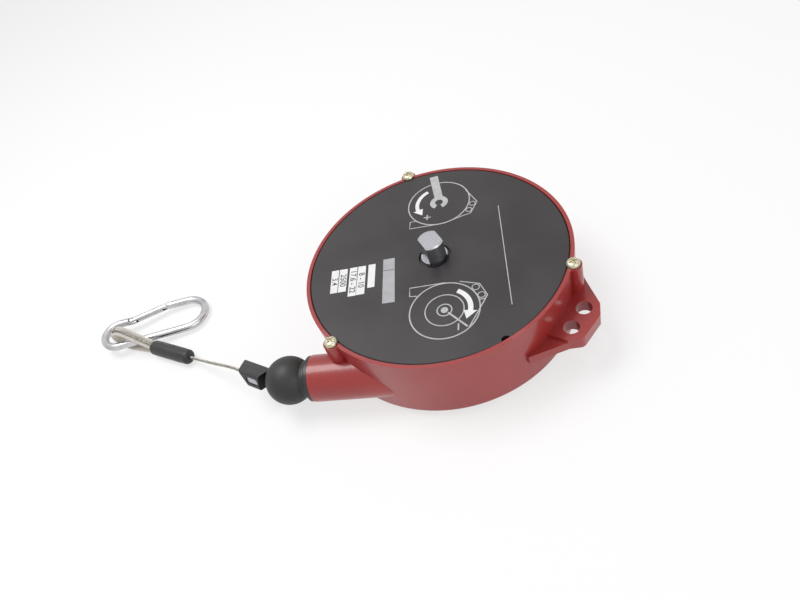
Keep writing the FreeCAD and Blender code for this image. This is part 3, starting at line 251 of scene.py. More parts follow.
inner = finish_group.nodes
join = finish_group.links.new
given = inner.new("NodeGroupInput")
result = inner.new("NodeGroupOutput")
place = inner.new("ShaderNodeTexCoord").outputs["Object"]
blotch = noise_node(finish_group, place, 4, given.outputs["Blotch Scale"])
grain = noise_node(finish_group, place, 2, given.outputs["Grain Scale"])
spread = sharpened(finish_group, blotch, 0.35, 0.68)
colours = inner.new("ShaderNodeMix")
colours.data_type = "RGBA"
join(spread, colours.inputs["Factor"])
join(given.outputs["Color"], colours.inputs["A"])
join(given.outputs["Other Color"], colours.inputs["B"])
rough = math_node(finish_group, "MULTIPLY_ADD", spread, given.outputs["Roughness Spread"],
                  given.outputs["Roughness"])
join(colours.outputs["Result"], result.inputs["Color"])
join(rough, result.inputs["Roughness"])
join(grain, result.inputs["Height"])
print("group", finish_group.name, len(inner), "nodes")

# %% [markdown]
# A used thing has dust on the faces that look up and fine scuffs from handling.  Dust is a mask made from
# the surface's own direction and a cloudy noise.  A scuff is a noise squeezed hard along one way, so that
# its blobs become scratches.  The group puts out the two masks, and each material sets how much it takes.

# %% Node group: dust_and_scuffs
wear_group = bpy.data.node_groups.new("dust_and_scuffs", "ShaderNodeTree")
group_socket(wear_group, "Dust", "INPUT", "NodeSocketFloat", 0.1)
group_socket(wear_group, "Scuffs", "INPUT", "NodeSocketFloat", 0.1)
group_socket(wear_group, "Scuff Scale", "INPUT", "NodeSocketFloat", 60.0)
group_socket(wear_group, "Dust", "OUTPUT", "NodeSocketFloat")
group_socket(wear_group, "Scuffs", "OUTPUT", "NodeSocketFloat")
inner = wear_group.nodes
join = wear_group.links.new
given = inner.new("NodeGroupInput")
result = inner.new("NodeGroupOutput")
place = inner.new("ShaderNodeTexCoord").outputs["Object"]
facing = inner.new("ShaderNodeSeparateXYZ")
surface = inner.new("ShaderNodeNewGeometry")
join(surface.outputs["Normal"], facing.inputs[0])


def times(first, second):
    """The product of two masks, kept within 0..1."""
    product = math_node(wear_group, "MULTIPLY", first, second)
    product.node.use_clamp = True
    return product


cloud = sharpened(wear_group, noise_node(wear_group, place, 5, 26), 0.38, 0.72)
settled = times(times(facing.outputs["Z"], cloud), given.outputs["Dust"])
join(settled, result.inputs["Dust"])
squeeze = inner.new("ShaderNodeMapping")
squeeze.inputs["Scale"].default_value = (1.0, 22.0, 4.0)
squeeze.inputs["Rotation"].default_value = (0.1, 0.2, 0.7)
join(place, squeeze.inputs["Vector"])
scratch = noise_node(wear_group, squeeze.outputs["Vector"], 3, given.outputs["Scuff Scale"])
join(times(sharpened(wear_group, scratch, 0.60, 0.74), given.outputs["Scuffs"]), result.inputs["Scuffs"])
print("group", wear_group.name, len(inner), "nodes")

# %% [markdown]
# Turned steel keeps the spiral of the cutting tool, and the wrench head, the shaft and the drum are all
# turned about the same axis, which is the frame's Z.  A sine of the distance from that axis makes rings.

# %% Node group: turned_rings
ring_group = bpy.data.node_groups.new("turned_rings", "ShaderNodeTree")
group_socket(ring_group, "Rings per Metre", "INPUT", "NodeSocketFloat", 2500.0)
group_socket(ring_group, "Height", "OUTPUT", "NodeSocketFloat")
inner = ring_group.nodes
join = ring_group.links.new
given = inner.new("NodeGroupInput")
result = inner.new("NodeGroupOutput")
place = inner.new("ShaderNodeTexCoord").outputs["Object"]
flatten = inner.new("ShaderNodeVectorMath")
flatten.operation = "MULTIPLY"
flatten.inputs[1].default_value = (1, 1, 0)
reach = inner.new("ShaderNodeVectorMath")
reach.operation = "LENGTH"
join(place, flatten.inputs[0])
join(flatten.outputs["Vector"], reach.inputs[0])
waves = math_node(ring_group, "MULTIPLY", reach.outputs["Value"], given.outputs["Rings per Metre"])
turns = math_node(ring_group, "MULTIPLY", waves, 2 * math.pi)
join(math_node(ring_group, "SINE", turns), result.inputs["Height"])
print("group", ring_group.name, len(inner), "nodes")

# %% [markdown]
# One table holds the numbers of every finish: colours, the size of blotches and grain, gloss, metal, the
# clear coat and the height of the relief, then dust, scuffs and turning rings.  A table beats a block of
# nodes for each part, because finishes can be compared side by side and a mistake shows as an odd number.

# %% Materials
FINISH = {
    # name: colour, other colour, blotch scale, grain scale,
    #       roughness, spread, metal, coat, bump mm, dust, scuffs, scuff scale, rings per metre
    "red_paint": ((0.33, 0.024, 0.022), (0.29, 0.018, 0.017), 18, 330,
        0.28, 0.08, 0.0, 0.35, 0.05, 0.02, 0.10, 45, 0),
    "black_plate": ((0.019, 0.015, 0.017), (0.028, 0.023, 0.025), 22, 1500,
        0.36, 0.16, 0.0, 0.0, 0.02, 0.02, 0.14, 34, 0),
    "yellow_zinc": ((0.62, 0.57, 0.40), (0.46, 0.43, 0.34), 300, 2500,
        0.26, 0.14, 1.0, 0.0, 0.02, 0.05, 0.2, 300, 0),
    "bronze": ((0.50, 0.33, 0.14), (0.42, 0.28, 0.13), 120, 2200,
        0.34, 0.12, 1.0, 0.0, 0.03, 0.0, 0.15, 150, 3000),
    "bright_steel": ((0.50, 0.50, 0.53), (0.42, 0.42, 0.45), 150, 1800,
        0.24, 0.10, 1.0, 0.0, 0.006, 0.0, 0.25, 220, 2600),
    "dark_steel": ((0.16, 0.16, 0.17), (0.11, 0.11, 0.12), 140, 1600,
        0.38, 0.15, 1.0, 0.0, 0.04, 0.03, 0.2, 120, 0),
    "spring_steel": ((0.30, 0.31, 0.34), (0.22, 0.22, 0.25), 90, 1600,
        0.30, 0.12, 1.0, 0.0, 0.03, 0.0, 0.2, 90, 0),
    "cast_drum": ((0.55, 0.55, 0.56), (0.46, 0.46, 0.47), 60, 900,
        0.44, 0.14, 1.0, 0.0, 0.05, 0.05, 0.15, 60, 900),
    "wire_rope": ((0.44, 0.42, 0.38), (0.30, 0.28, 0.26), 500, 2600,
        0.36, 0.18, 1.0, 0.0, 0.03, 0.05, 0.1, 300, 0),
    "black_rubber": ((0.013, 0.012, 0.012), (0.022, 0.021, 0.021), 70, 1300,
        0.48, 0.16, 0.0, 0.0, 0.07, 0.02, 0.12, 80, 0),
    "black_plastic": ((0.014, 0.014, 0.015), (0.022, 0.022, 0.023), 120, 1100,
        0.34, 0.14, 0.0, 0.0, 0.05, 0.03, 0.12, 90, 0),
    "thimble_zinc": ((0.66, 0.63, 0.57), (0.57, 0.54, 0.48), 150, 1500,
        0.44, 0.14, 0.0, 0.0, 0.04, 0.04, 0.1, 160, 0),
    "hook_zinc": ((0.60, 0.59, 0.60), (0.42, 0.41, 0.43), 110, 500,
        0.20, 0.10, 1.0, 0.0, 0.003, 0.0, 0.22, 130, 0),
}
DUST = (0.30, 0.29, 0.28, 1)
RELIEF_STRENGTH, RING_SHARE, COAT_ROUGHNESS = 0.6, 0.35, 0.06


def make_finish(name, values):
    """A Principled shader whose colour, roughness and bump come from the shared groups."""
    (colour, other, blotches, grains, roughness, spread, metal, coat, bump,
     dust, scuffs, scuff_scale, rings) = values
    finish = bpy.data.materials.new("finish_" + name)
    finish.use_nodes = True
    tree = finish.node_tree
    add, join = tree.nodes.new, tree.links.new
    shader = tree.nodes["Principled BSDF"]
    varied = add("ShaderNodeGroup")
    varied.node_tree = finish_group
    varied.inputs["Color"].default_value = (*colour, 1)
    varied.inputs["Other Color"].default_value = (*other, 1)
    varied.inputs["Blotch Scale"].default_value = blotches
    varied.inputs["Grain Scale"].default_value = grains
    varied.inputs["Roughness"].default_value = roughness
    varied.inputs["Roughness Spread"].default_value = spread
    worn = add("ShaderNodeGroup")
    worn.node_tree = wear_group
    worn.inputs["Dust"].default_value = dust
    worn.inputs["Scuffs"].default_value = scuffs
    worn.inputs["Scuff Scale"].default_value = scuff_scale
    dusty = add("ShaderNodeMix")
    dusty.data_type = "RGBA"
    dusty.inputs["B"].default_value = DUST
    join(worn.outputs["Dust"], dusty.inputs["Factor"])
    join(varied.outputs["Color"], dusty.inputs["A"])
    join(dusty.outputs["Result"], shader.inputs["Base Color"])
    rough = math_node(tree, "ADD", varied.outputs["Roughness"], worn.outputs["Scuffs"])
    join(rough, shader.inputs["Roughness"])
    relief = add("ShaderNodeBump")
    relief.inputs["Distance"].default_value = bump * MM
    relief.inputs["Strength"].default_value = RELIEF_STRENGTH
    height = varied.outputs["Height"]
    if rings:
        turned = add("ShaderNodeGroup")
        turned.node_tree = ring_group
        turned.inputs["Rings per Metre"].default_value = rings
        height = math_node(tree, "MULTIPLY_ADD", turned.outputs["Height"], RING_SHARE, height)
    join(height, relief.inputs["Height"])
    join(relief.outputs["Normal"], shader.inputs["Normal"])
    shader.inputs["Metallic"].default_value = metal
    shader.inputs["Coat Weight"].default_value = coat
    shader.inputs["Coat Roughness"].default_value = COAT_ROUGHNESS
    return finish


finishes = {name: make_finish(name, values) for name, values in FINISH.items()}
slot_of = {part["node"]: part["material_slot"] for part in frame["record"]["subparts"]}
for name, node in nodes.items():
    for holder in node.material_slots:
        holder.material = finishes[slot_of[name]]
print("finishes", len(finishes), "on", len(nodes), "nodes")

# %% [markdown]
# Helpers that turn arrays of points into meshes.  A surface is a grid of points, each a function of two
# parameters, and neighbouring points make its faces.  Faces come in blocks, one array for each number of
# corners, because an array has rows of one length only.

# %% Surfaces from arrays
def link_piece(name, vertices, faces, finish, body, slot, smooth=True):
    """A mesh object from arrays, shaded smooth or not (one value, or one for each face), on its body."""
    mesh = bpy.data.meshes.new(name)
    mesh.from_pydata(vertices.tolist(), [], faces if isinstance(faces, list) else faces.tolist())
    mesh.materials.append(finish)
    mesh.polygons.foreach_set("use_smooth", np.array(np.broadcast_to(smooth, len(mesh.polygons))))
    mesh.update()
    piece = bpy.data.objects.new(name, mesh)
    scene.collection.objects.link(piece)
    if body:
        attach(piece, body)
    return piece


def outward_faces(piece):
    """Turns every face of a closed mesh outwards."""
    shell = bmesh.new()
    shell.from_mesh(piece.data)
    bmesh.ops.recalc_face_normals(shell, faces=shell.faces)
    shell.to_mesh(piece.data)
    shell.free()


def joined(shapes):
    """Shapes, each points and blocks of faces, as one: corners count on from the points before."""
    points, faces, start = [], [], 0
    for shape_points, blocks in shapes:
        points.append(shape_points)
        for block in blocks:
            faces += (block + start).tolist()
        start += len(shape_points)
    return np.concatenate(points), faces


def evaluated(name, data):
    """The mesh that Blender makes of a curve or of text, and its points as an array."""
    holder = bpy.data.objects.new(name, data)
    scene.collection.objects.link(holder)
    bpy.context.view_layer.update()
    made = holder.evaluated_get(bpy.context.evaluated_depsgraph_get())
    mesh = bpy.data.meshes.new_from_object(made)
    bpy.data.objects.remove(holder)
    points = np.empty(len(mesh.vertices) * 3)
    mesh.vertices.foreach_get("co", points)
    return mesh, points.reshape(-1, 3)


def grid_faces(rows, columns):
    """Quads of a rows x columns grid of points whose last column joins the first."""
    across = np.arange(columns)
    down = np.arange(rows - 1)[:, None]
    after = (across + 1) % columns
    corners = (down * columns + across, down * columns + after,
               (down + 1) * columns + after, (down + 1) * columns + across)
    return np.stack(corners, -1).reshape(-1, 4)


print("helpers for meshes: link_piece, outward_faces, joined, evaluated, grid_faces")

# %% [markdown]
# The print on the cover is thin ink.  Each mark is a flat shape in the cover's own plane: ribbons for
# lines and arcs, filled outlines for boxes and discs.  The marks that tell how the balancer is adjusted
# stay, and so do plain numbers.

# %% Print helpers
COVER_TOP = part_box("front_cover")[1][2]
INK_THICKNESS = 0.03 * MM


def to_cover(flat, lift):
    """(right, up) in mm on the cover to the frame: up is +X and right is -Y."""
    flat = np.asarray(flat, float)
    return np.column_stack((flat[:, 1] * MM, -flat[:, 0] * MM, np.full(len(flat), COVER_TOP + lift * MM)))


def ribbon(points, width, closed=False):
    """A band of that width along points: each point plus and minus half the width along its normal."""
    points = np.asarray(points, float)
    before = np.roll(points, 1, 0)
    after = np.roll(points, -1, 0)
    if not closed:
        before[0], after[-1] = points[0], points[-1]
    way = after - before
    way /= np.linalg.norm(way, axis=1)[:, None]
    normal = np.column_stack((-way[:, 1], way[:, 0])) * width / 2
    band = np.concatenate((points - normal, points + normal))
    count = len(points)
    index = np.arange(count if closed else count - 1)
    after = (index + 1) % count
    return band, np.column_stack((index, after, after + count, index + count))


def arc(centre, radius, start, end, steps=64):
    """Points at radius about centre from start to end degrees."""
    turn = np.radians(np.linspace(start, end, steps))
    return np.column_stack((centre[0] + radius * np.cos(turn), centre[1] + radius * np.sin(turn)))


def filled(points):
    """A fan from the middle of a convex outline to its corners."""
    points = np.asarray(points, float)
    count = len(points)
    index = np.arange(count)
    fan = np.column_stack((np.full(count, count), index, (index + 1) % count))
    return np.concatenate((points, points.mean(0)[None])), fan


def turned_up(flat, faces):
    """The same faces, each wound so that it faces out of the cover."""
    a, b, c = (flat[faces[:, k]] for k in range(3))
    cross = (b[:, 0] - a[:, 0]) * (c[:, 1] - a[:, 1]) - (b[:, 1] - a[:, 1]) * (c[:, 0] - a[:, 0])
    return np.where((cross < 0)[:, None], faces[:, ::-1], faces)


def ink(name, shapes, lift, finish):
    """All shapes as one thin mesh on the cover."""
    points, faces = joined((flat, [turned_up(flat, shape_faces)]) for flat, shape_faces in shapes)
    piece = link_piece(name, to_cover(points, lift), faces, finish, "housing", "black_plate", False)
    thick = piece.modifiers.new("ink", "SOLIDIFY")
    thick.thickness = INK_THICKNESS
    thick.offset = -1


def make_ink(name, colour, other, blotches, roughness):
    """A matt print colour: the shared finish with a fine grain and hardly any relief."""
    return make_finish(name, (colour, other, blotches, 2000, roughness, 0.1, 0, 0, 0.01, 0.03, 0.08, 60, 0))


pale_ink = make_ink("pale_ink", (0.50, 0.50, 0.51), (0.40, 0.40, 0.41), 140, 0.5)
white_ink = make_ink("white_ink", (0.82, 0.82, 0.82), (0.74, 0.74, 0.75), 140, 0.5)
grey_ink = make_ink("grey_ink", (0.42, 0.42, 0.44), (0.36, 0.36, 0.38), 160, 0.45)
dark_ink = make_ink("dark_ink", (0.03, 0.03, 0.03), (0.05, 0.05, 0.05), 160, 0.5)
print("inks", pale_ink.name, white_ink.name, grey_ink.name, dark_ink.name)

# %% [markdown]
# Two pictograms tell which way the wrench turns to take more load or less.  Each one is a small drawing
# of the balancer itself: rings for its body, an outline for its nozzle and lug, and a fat curved arrow.
# Flat shapes are enough, because ink has no depth of its own.

# %% Pictograms
HEAD_DEGREES, HEAD_SPREAD = 24, 1.3


def arrow(centre, radius, thick, start, end):
    """A curved arrow: an arc that ends in a triangle pointing along it."""
    way = 1 if end > start else -1
    tip = end + way * HEAD_DEGREES
    barb = thick * HEAD_SPREAD
    head = np.concatenate((arc(centre, radius + barb, end, end, 1),
                           arc(centre, radius, tip, tip, 1),
                           arc(centre, radius - barb, end, end, 1)))
    return [ribbon(arc(centre, radius, start, end), thick), filled(head)]


left_mark, right_mark = (-56.5, 0.1), (51.4, 9.3)
LOWEST_LAYER, LAYER_STEP = 0.05, 0.035
# Marks that cross each other lie on layers of their own, so that each layer is one clean surface.
casing_rings = [
    ribbon(arc(left_mark, 23.8, 0, 356, 90), 0.9, True),
    ribbon(arc(right_mark, 23.9, 0, 356, 90), 0.9, True),
    ribbon(arc(right_mark, 13.2, 0, 355, 70), 0.8, True),
    ribbon(arc(right_mark, 5.0, 0, 351, 40), 0.8, True),
    filled(arc(right_mark, 2.5, 0, 348, 30)),
]
casing_outlines = [
    ribbon([(-67.05, 20.9), (-52, 29.8), (-40.1, 25.1), (-38.2, 18.8), (-33, 5.6)], 0.8),
    ribbon([(-32.6, 1.25), (-31.6, -21.1), (-38.9, -21.1), (-39.2, -16.9)], 0.8),
    ribbon([(27.3, 18.8), (31.3, 32.6), (42, 38), (67.7, 26.3)], 0.8),
    ribbon([(27.1, 8.8), (28.6, -16.3), (36.3, -15.7), (36.6, -10.7)], 0.8),
    ribbon([(-43.9, 45.7), (52.6, 53.9)], 0.6),
]
small_marks = [
    ribbon(arc((-50.5, 26.3), 2.2, 0, 345, 24), 0.7, True),
    ribbon(arc((-44.1, 23.8), 2.2, 0, 345, 24), 0.7, True),
    ribbon(arc((41.4, 34.0), 2.5, 0, 345, 24), 0.7, True),
    ribbon(arc((34.1, 30.0), 2.5, 0, 345, 24), 0.7, True),
    ribbon([(42, 38), (45.1, 36.3), (45.4, 32.6)], 0.8),
    ribbon([(64.0, 19.2), (69.5, 19.2)], 1.0),
    ribbon([(-44.4, -8.1), (-38.8, -8.1)], 1.0),
]
wrench_handle = [ribbon([(-88.7, -5.6), (-61.8, 0.0)], 6.5), ribbon([(53.9, 11.9), (67.1, 25.3)], 1.3),
                 ribbon([(-41.6, -10.9), (-41.6, -5.3)], 1.0)]
wrench_jaws = [ribbon(arc((-57.0, 0.3), 5.0, 26, 334, 48), 4.0)]
arrows = arrow(left_mark, 16.9, 3.0, 213, 290) + arrow(right_mark, 17.7, 3.5, 152, 82)
for layer, (name, shapes, colour) in enumerate((
        ("print_rings", casing_rings, pale_ink), ("print_outlines", casing_outlines, pale_ink),
        ("print_small_marks", small_marks, pale_ink), ("print_wrench_handle", wrench_handle, pale_ink),
        ("print_wrench_jaws", wrench_jaws, pale_ink), ("print_arrows", arrows, white_ink))):
    ink(name, shapes, LOWEST_LAYER + LAYER_STEP * layer, colour)
    print(name, len(shapes), "marks")

# %% [markdown]
# The pale boxes hold the figures for load, stroke and weight, which are plain numbers.  A figure is set as
# text, made a mesh, and only then turned into the cover's plane, so that it stays a plain flat shape.

# %% Boxes and numbers
BOX_LIFT, FIGURE_LIFT, FIGURE_SIZE, FIGURE_SWELL = 0.06, 0.1, 6.2, 0.06
FIGURES = (("load_kilograms", "8 - 10", 1), ("load_pounds", "17.6 - 22", 2), ("stroke_figure", "2500", 3),
           ("weight_figure", "3.4", 4))
plates = [
    [(0.6, -44.2), (23.2, -42.6), (23.6, -47.9), (0.9, -49.5)],
    [(1.3, -51.4), (28.8, -49.5), (29.2, -55.8), (1.5, -57.3)],
    [(1.5, -58.0), (29.5, -56.0), (29.8, -61.8), (2.0, -63.7)],
    [(2.3, -65.4), (24.4, -63.9), (24.8, -69.9), (2.5, -71.4)],
    [(2.5, -72.1), (24.8, -70.4), (25.2, -75.8), (2.9, -77.7)],
]
blank_box = [(-3.1, -30.1), (39.5, -26.1), (39.9, -35.1), (-2.5, -38.6)]
ink("print_boxes", [filled(corners) for corners in plates], BOX_LIFT, white_ink)
ink("print_blank_box", [filled(blank_box)], BOX_LIFT, grey_ink)
ink("print_divider", [ribbon([(8.4, -29.2), (8.8, -37.8)], 0.5)], FIGURE_LIFT, dark_ink)


def number(name, words, corners):
    """Plain figures centred in a box, as a mesh, along the box's own lower edge."""
    corners = np.asarray(corners, float)
    letters = bpy.data.curves.new(name, "FONT")
    letters.body = words
    letters.size = FIGURE_SIZE
    letters.offset = FIGURE_SWELL
    letters.align_x, letters.align_y = "CENTER", "CENTER"
    mesh, flat = evaluated(name, letters)
    way = corners[1] - corners[0]
    way /= np.linalg.norm(way)
    flat = corners.mean(0) + flat[:, :1] * way + flat[:, 1:2] * np.array([-way[1], way[0]])
    mesh.vertices.foreach_set("co", to_cover(flat, FIGURE_LIFT).ravel())
    mesh.update()
    mesh.materials.clear()
    mesh.materials.append(dark_ink)
    piece = bpy.data.objects.new(name, mesh)
    scene.collection.objects.link(piece)
    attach(piece, "housing")


for name, words, box in FIGURES:
    number("number_" + name, words, plates[box])
print("numbers", [words for name, words, box in FIGURES])

# %% [markdown]
# The cover screws are pan heads with a cross recess.  Their heads are drawn on a round grid: the height
# at a point is that of a shallow dome, less a cross-shaped dip with soft walls.

# %% Cover screws
SCREW_CIRCLE, SCREW_DEGREES = 97.4 * MM, (-14, 106, 226)
HEAD_RADIUS, HEAD_HEIGHT = 4.9 * MM, 3.4 * MM
RECESS_DEPTH, RECESS_HALF, RECESS_REACH = 1.5 * MM, 0.75 * MM, 2.9 * MM
SIDE_WALL, END_WALL = 0.25 * MM, 0.4 * MM
RINGS, SPOKES = 44, 96


def cross_head(centre, turn, low, high):
    """z = low + rise * (1 - r^4)^0.5, less the recess where |a| or |b| is under half its width; closed."""
    ring = np.linspace(1, 0.02, RINGS)[:, None]
    angle = np.linspace(0, 2 * math.pi, SPOKES, endpoint=False)[None]
    a = ring * HEAD_RADIUS * np.cos(angle)
    b = ring * HEAD_RADIUS * np.sin(angle)
    arm = np.minimum(np.abs(a), np.abs(b))
    reach = np.hypot(a, b)
    dip = np.clip((RECESS_HALF - arm) / SIDE_WALL, 0, 1) * np.clip((RECESS_REACH - reach) / END_WALL, 0, 1)
    z = low + (high - low) * np.sqrt(1 - ring ** 4) * np.ones_like(a) - RECESS_DEPTH * dip
    x = centre[0] + a * math.cos(turn) - b * math.sin(turn)
    y = centre[1] + a * math.sin(turn) + b * math.cos(turn)
    dome = np.stack((x, y, z), -1).reshape(-1, 3)
    middles = [(*centre, dome[-SPOKES:, 2].mean()), (*centre, low)]
    index = np.arange(SPOKES)
    after = (index + 1) % SPOKES
    inmost = (RINGS - 1) * SPOKES
    cap = np.column_stack((inmost + index, inmost + after, np.full(SPOKES, len(dome))))
    under = np.column_stack((after, index, np.full(SPOKES, len(dome) + 1)))
    return np.concatenate((dome, middles)), [grid_faces(RINGS, SPOKES), cap, under]


screw_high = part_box("cover_screws")[1][2]
shapes = []
for screw, degrees in enumerate(SCREW_DEGREES):
    angle = math.radians(degrees)
    centre = (SCREW_CIRCLE * math.cos(angle), SCREW_CIRCLE * math.sin(angle))
    shapes.append(cross_head(centre, 0.5 + screw, screw_high - HEAD_HEIGHT, screw_high))
heads = link_piece("screw_heads", *joined(shapes), finishes["yellow_zinc"], "housing",
                   slot_of["cover_screws"])
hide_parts("cover_screws")
print("screw heads", len(heads.data.polygons), "faces")

# %% [markdown]
# Wire rope is six strands laid round a core.  Each strand is a thin tube whose middle winds round the
# rope's line, and the core is left out, because the strands hide it.  The line itself is a smooth NURBS
# curve that the rope's route steers, read back as points.

# %% Rope line
# The rope runs on through the sleeve, so its route ends at the thimble's root.
SLEEVE_MOUTH = np.array((-217.0, -28.6, 6.5)) * MM
SLEEVE_WAY = np.array((-0.9355, 0.3535, 0.0)) / math.hypot(0.9355, 0.3535)
SLEEVE_LENGTH = 41.5 * MM
ROPE_RADIUS, ROPE_LAY, ROPE_STEP = 1.25 * MM, 9 * MM, 0.35 * MM
ROUTE = np.array([(-157.6, -58.4, 24.2), (-164.559, -54.954, 23.573), (-187.5, -43.2, 14.6),
                  (-214.4, -29.9, 7.2), (-219.8, -27.54, 6.5)]) * MM
ROUTE = np.concatenate((ROUTE, [SLEEVE_MOUTH + SLEEVE_WAY * SLEEVE_LENGTH]))
LOAD_ROUTE = np.array([(-20.8, -74.3, 27.1), (-113.0, -74.3, 27.1), (-125.5, -74.3, 27.1),
                       (-136.7, -68.74, 26.09), (-157.6, -58.4, 24.2)]) * MM


def smooth_line(name, route):
    """Points of the NURBS curve of order 3 whose control points are the route."""
    curve = bpy.data.curves.new(name, "CURVE")
    curve.dimensions = "3D"
    curve.resolution_u = 48
    spline = curve.splines.new("NURBS")
    spline.points.add(len(route) - 1)
    spline.points.foreach_set("co", np.column_stack((route, np.ones(len(route)))).ravel())
    spline.order_u = 3
    spline.use_endpoint_u = True
    mesh, points = evaluated(name, curve)
    bpy.data.meshes.remove(mesh)
    return points


def along(line, spacing):
    """The same line with points at even spacing, and how far along it each of them lies."""
    step = np.linalg.norm(np.diff(line, axis=0), axis=1)
    travelled = np.concatenate(([0], np.cumsum(step)))
    wanted = np.linspace(0, travelled[-1], max(2, int(travelled[-1] / spacing)))
    return np.column_stack([np.interp(wanted, travelled, line[:, k]) for k in range(3)]), wanted


def laid_strands(line, rope_radius, lay_length, strands=6, sides=8):
    """Strand k's middle is the line plus rope_radius*(2/3) * (cos, sin)(2 pi s/lay + 2 pi k/strands)."""
    middle, travelled = along(line, ROPE_STEP)
    way = np.gradient(middle, axis=0)
    way /= np.linalg.norm(way, axis=1)[:, None]
    side = np.cross(way, (0.0, 0.0, 1.0))
    side /= np.linalg.norm(side, axis=1)[:, None]
    over = np.cross(side, way)
    strand_radius = rope_radius / 3
    offset = rope_radius - strand_radius
    vertices, faces = [], []
    ring = np.linspace(0, 2 * math.pi, sides, endpoint=False)
    for strand in range(strands):
        turn = 2 * math.pi * (travelled / lay_length + strand / strands)
        centre = middle + offset * (np.cos(turn)[:, None] * side + np.sin(turn)[:, None] * over)
        tube = centre[:, None] + strand_radius * (np.cos(ring)[None, :, None] * side[:, None]
                                                  + np.sin(ring)[None, :, None] * over[:, None])
        start = len(vertices) * len(middle) * sides
        vertices.append(tube.reshape(-1, 3))
        faces.append(grid_faces(len(middle), sides) + start)
    return np.concatenate(vertices), np.concatenate(faces)


tail_line = smooth_line("tail_line", ROUTE)
tail = link_piece("rope_tail_strands", *laid_strands(tail_line, ROPE_RADIUS, ROPE_LAY),
                  finishes["wire_rope"], "hook_end", "wire_rope")
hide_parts("rope_tail")
tail_length = float(np.linalg.norm(np.diff(tail_line, axis=0), axis=1).sum())
print("rope tail", round(tail_length, 4), "m")

# %% [markdown]
# Inside, the rope leaves the drum on a straight line, runs out through the nozzle's mouth and the ball,
# and bends to the clamp. It stretches between the drum, which stays, and the clamp, which moves, and is
# left on no body.

# %% Rope from the drum to the clamp
load_line = smooth_line("load_line", LOAD_ROUTE)
load = link_piece("load_rope_strands", *laid_strands(load_line, ROPE_RADIUS, ROPE_LAY),
                  finishes["wire_rope"], None, "wire_rope")
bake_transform(load)
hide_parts("load_rope")
print("load rope", len(load.data.polygons), "faces")

# %% [markdown]
# The thimble is a grooved plastic band bent into a teardrop, which keeps the rope's eye open round the
# hook.  Its middle line runs up one straight leg, round a circle and down the other leg.  A U-shaped
# profile is carried along that line: two flanges stand up beside the groove that the rope lies in.  A
# sweep holds the profile square to the line everywhere, so the groove keeps its width round the bend.

# %% Thimble
def teardrop_line(centre, radius, tip, start, steps=40):
    """Points and outward normals: a leg tangent to the circle about (0, centre), the arc, the other leg."""
    lean = math.asin(radius / (centre - tip))
    turn = np.linspace(-lean, math.pi + lean, 2 * steps)
    out = np.column_stack((np.cos(turn), np.sin(turn)))
    arc_points = np.array([0, centre]) + radius * out
    share = np.linspace(0, 1, steps, endpoint=False)[:, None]
    first_foot = np.array([(start - tip) * math.tan(lean), start])
    last_foot = first_foot * (-1, 1)
    first = first_foot + (arc_points[0] - first_foot) * share
    last = arc_points[-1] + (last_foot - arc_points[-1]) * (share + 1 / steps)
    normals = np.concatenate((np.repeat(out[:1], steps, 0), out, np.repeat(out[-1:], steps, 0)))
    return np.concatenate((first, arc_points, last)), normals


def closed_sweep(points, normals, profile, origin, across, flat, along_way):
    """Point (i, j) = origin + (line_i + n_j normal_i) in the plane of flat and along_way + w_j across."""
    in_plane = points[:, None] + profile[None, :, :1] * normals[:, None]
    swept = (origin + in_plane[..., :1] * flat + in_plane[..., 1:] * along_way
             + profile[None, :, 1:] * across)
    rows, columns = len(points), len(profile)
    ends = np.array([np.arange(columns), np.arange((rows - 1) * columns, rows * columns)[::-1]])
    return swept.reshape(-1, 3), [grid_faces(rows, columns), ends]


EYE_YAW, EYE_RISE, EYE_ROLL = (math.radians(angle) for angle in (6, 16, 84))
TEARDROP = {"centre": 27.5, "radius": 11.6, "tip": -7.0, "start": 2.2}
eye_origin = SLEEVE_MOUTH + SLEEVE_WAY * SLEEVE_LENGTH
eye_way = np.array([SLEEVE_WAY[0] * math.cos(EYE_YAW) - SLEEVE_WAY[1] * math.sin(EYE_YAW),
                    SLEEVE_WAY[0] * math.sin(EYE_YAW) + SLEEVE_WAY[1] * math.cos(EYE_YAW),
                    math.tan(EYE_RISE)])
eye_way /= np.linalg.norm(eye_way)
level = np.cross((0.0, 0.0, 1.0), eye_way)
level /= np.linalg.norm(level)
upward = np.cross(eye_way, level)
eye_flat = level * math.cos(EYE_ROLL) + upward * math.sin(EYE_ROLL)
eye_across = np.cross(eye_way, eye_flat)

line, outward = teardrop_line(**TEARDROP)
profile = np.array([(-1.2, -3.7), (-1.3, -2.0), (-1.35, 0.0), (-1.3, 2.0), (-1.2, 3.7), (-0.4, 4.1),
                    (1.3, 3.9), (1.45, 3.3), (0.9, 2.4), (0.1, 1.5), (-0.15, 0.0), (0.1, -1.5),
                    (0.9, -2.4), (1.45, -3.3), (1.3, -3.9), (-0.4, -4.1)])
band = closed_sweep(line * MM, outward, profile * MM, eye_origin, eye_across, eye_flat, eye_way)
thimble_band = link_piece("thimble_band", *joined([band]), finishes["thimble_zinc"], "hook_end",
                          slot_of["thimble"])
outward_faces(thimble_band)
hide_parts("thimble")
lowest = round(band[0][:, 2].min() / MM, 2)
print("thimble", len(thimble_band.data.polygons), "faces, lowest at", lowest, "mm")

# %% [markdown]
# The rope turns back on itself round the thimble.  It lies in the groove, so its line is the band's own
# line moved outwards by a constant distance: a line of another teardrop would dig into the band.

